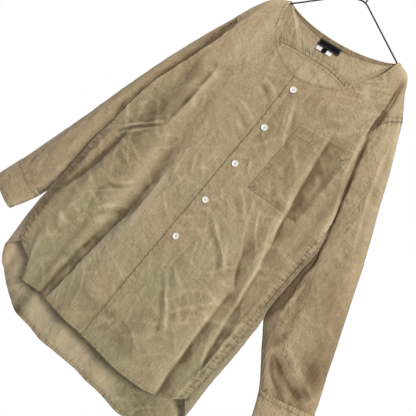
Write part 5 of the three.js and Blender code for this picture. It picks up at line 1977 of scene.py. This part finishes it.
class SHIRT_OT_hanger(bpy.types.Operator):
    """Makes the coated wire hanger with its hook"""
    bl_idname = "shirt.hanger"
    bl_label = "Wire hanger"

    def execute(self, context):
        sizes = context.scene.shirt_hanger
        curve = bpy.data.curves.new("hanger wire", "CURVE")
        curve.dimensions = "3D"
        curve.bevel_depth = sizes.wire / 2
        curve.bevel_resolution = 4
        curve.use_fill_caps = True
        for points in wire_line():
            spline = curve.splines.new("POLY")
            spline.points.add(len(points) - 1)
            for place_now, point in zip(spline.points, points):
                place_now.co = (*point, 1)
        mesh = converted(add_object("hanger wire", curve))
        mesh.materials.clear()
        smooth_faces(mesh)
        piece = new_object("hanger_wire", mesh, coated_wire(sizes))
        finish_piece(piece, "wire", "hanger")
        return {"FINISHED"}


# The camera: yaw, pitch and roll in degrees, place in metres, lens and sensor in mm.
CAMERA_TURN = (17.95, 0.52, 38.48)
CAMERA_PLACE = (0.304, -0.912, -0.569)
LENS, SENSOR = 44.9, 36

FLOOR_HALF = 1.3
LAMP_AIM = (0, 0, -0.5)


class SHIRT_OT_stage(bpy.types.Operator):
    """Makes the pale floor, the soft light and the camera"""
    bl_idname = "shirt.stage"
    bl_label = "Stage"

    def execute(self, context):
        sizes, scene = context.scene.shirt_stage, context.scene
        floor = bpy.data.meshes.new("floor")
        corners = [(x * FLOOR_HALF, y * FLOOR_HALF, -sizes.floor_drop)
                   for x, y in ((-1, -1), (1, -1), (1, 1), (-1, 1))]
        floor.from_pydata(corners, [], [(0, 1, 2, 3)])
        new_object("floor", floor, pale_floor(sizes))

        world = bpy.data.worlds.new("studio air")
        scene.world = world
        world.use_nodes = True
        nodes, links = world.node_tree.nodes, world.node_tree.links
        nodes.clear()
        seen, air = nodes.new("ShaderNodeBackground"), nodes.new("ShaderNodeBackground")
        seen.inputs["Color"].default_value = (1, 1, 1, 1)
        air.inputs["Color"].default_value = (0.97, 0.985, 1, 1)
        air.inputs["Strength"].default_value = sizes.air
        path, either = nodes.new("ShaderNodeLightPath"), nodes.new("ShaderNodeMixShader")
        links.new(path.outputs["Is Camera Ray"], either.inputs[0])
        links.new(air.outputs[0], either.inputs[1])
        links.new(seen.outputs[0], either.inputs[2])
        links.new(either.outputs[0], nodes.new("ShaderNodeOutputWorld").inputs[0])

        lamps = (("main light", (1.4, -2.2, 0.25), 0.5, sizes.key, (1, 0.975, 0.93)),
                 ("top light", (0.1, -1.3, 2.2), 0.6, sizes.top, (1, 0.98, 0.95)))
        for name, spot, size, power, colour in lamps:
            lamp = bpy.data.lights.new(name, "AREA")
            lamp.shape, lamp.size, lamp.energy, lamp.color = "DISK", size, power, colour
            holder = add_object(name, lamp)
            holder.location = spot
            holder.rotation_mode = "QUATERNION"
            away = Vector(LAMP_AIM) - Vector(spot)
            holder.rotation_quaternion = away.to_track_quat("-Z", "Y")

        yaw, pitch, roll = (math.radians(angle) for angle in CAMERA_TURN)
        ahead = Vector((-math.sin(yaw) * math.cos(pitch), math.cos(yaw) * math.cos(pitch),
                        math.sin(pitch)))
        level_right = Vector((math.cos(yaw), math.sin(yaw), 0))
        plumb = level_right.cross(ahead)
        right = level_right * math.cos(roll) + plumb * math.sin(roll)
        up = plumb * math.cos(roll) - level_right * math.sin(roll)
        lens = bpy.data.cameras.new("camera")
        lens.lens, lens.sensor_width = LENS, SENSOR
        camera = add_object("camera", lens)
        turned = Matrix((right, up, -ahead)).transposed().to_4x4()
        camera.matrix_world = Matrix.Translation(CAMERA_PLACE) @ turned
        scene.camera = camera
        scene.view_settings.view_transform = "Standard"
        return {"FINISHED"}


class SHIRT_PT_panel(bpy.types.Panel):
    """Lists the shirt's pieces and sizes"""
    bl_idname = "SHIRT_PT_panel"
    bl_label = "Collarless Shirt"
    bl_space_type = "VIEW_3D"
    bl_region_type = "UI"
    bl_category = "Shirt"

    def draw(self, context):
        layout = self.layout
        for group, _ in GROUPS:
            sizes = getattr(context.scene, group)
            box = layout.box()
            for name in sizes.bl_rna.properties.keys():
                if name not in ("rna_type", "name"):
                    box.prop(sizes, name)
        for operator in OPERATORS:
            layout.operator(operator.bl_idname)


OPERATORS = (SHIRT_OT_stage, SHIRT_OT_fronts, SHIRT_OT_back, SHIRT_OT_sleeves,
             SHIRT_OT_front_details, SHIRT_OT_neck, SHIRT_OT_buttons, SHIRT_OT_stitches,
             SHIRT_OT_hanger)
GROUPS = (("shirt_cloth", ShirtCloth), ("shirt_buttons", ShirtButtons),
          ("shirt_hanger", ShirtHanger), ("shirt_stage", ShirtStage))


def register():
    for name, group in GROUPS:
        bpy.utils.register_class(group)
        setattr(bpy.types.Scene, name, bpy.props.PointerProperty(type=group))
    for kind in (*OPERATORS, SHIRT_PT_panel):
        bpy.utils.register_class(kind)


def unregister():
    for kind in (SHIRT_PT_panel, *reversed(OPERATORS)):
        bpy.utils.unregister_class(kind)
    for name, group in reversed(GROUPS):
        delattr(bpy.types.Scene, name)
        bpy.utils.unregister_class(group)


def main():
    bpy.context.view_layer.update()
    register()
    for operator in OPERATORS:
        getattr(bpy.ops.shirt, operator.bl_idname.split(".")[1])()


if __name__ == "__main__":
    main()
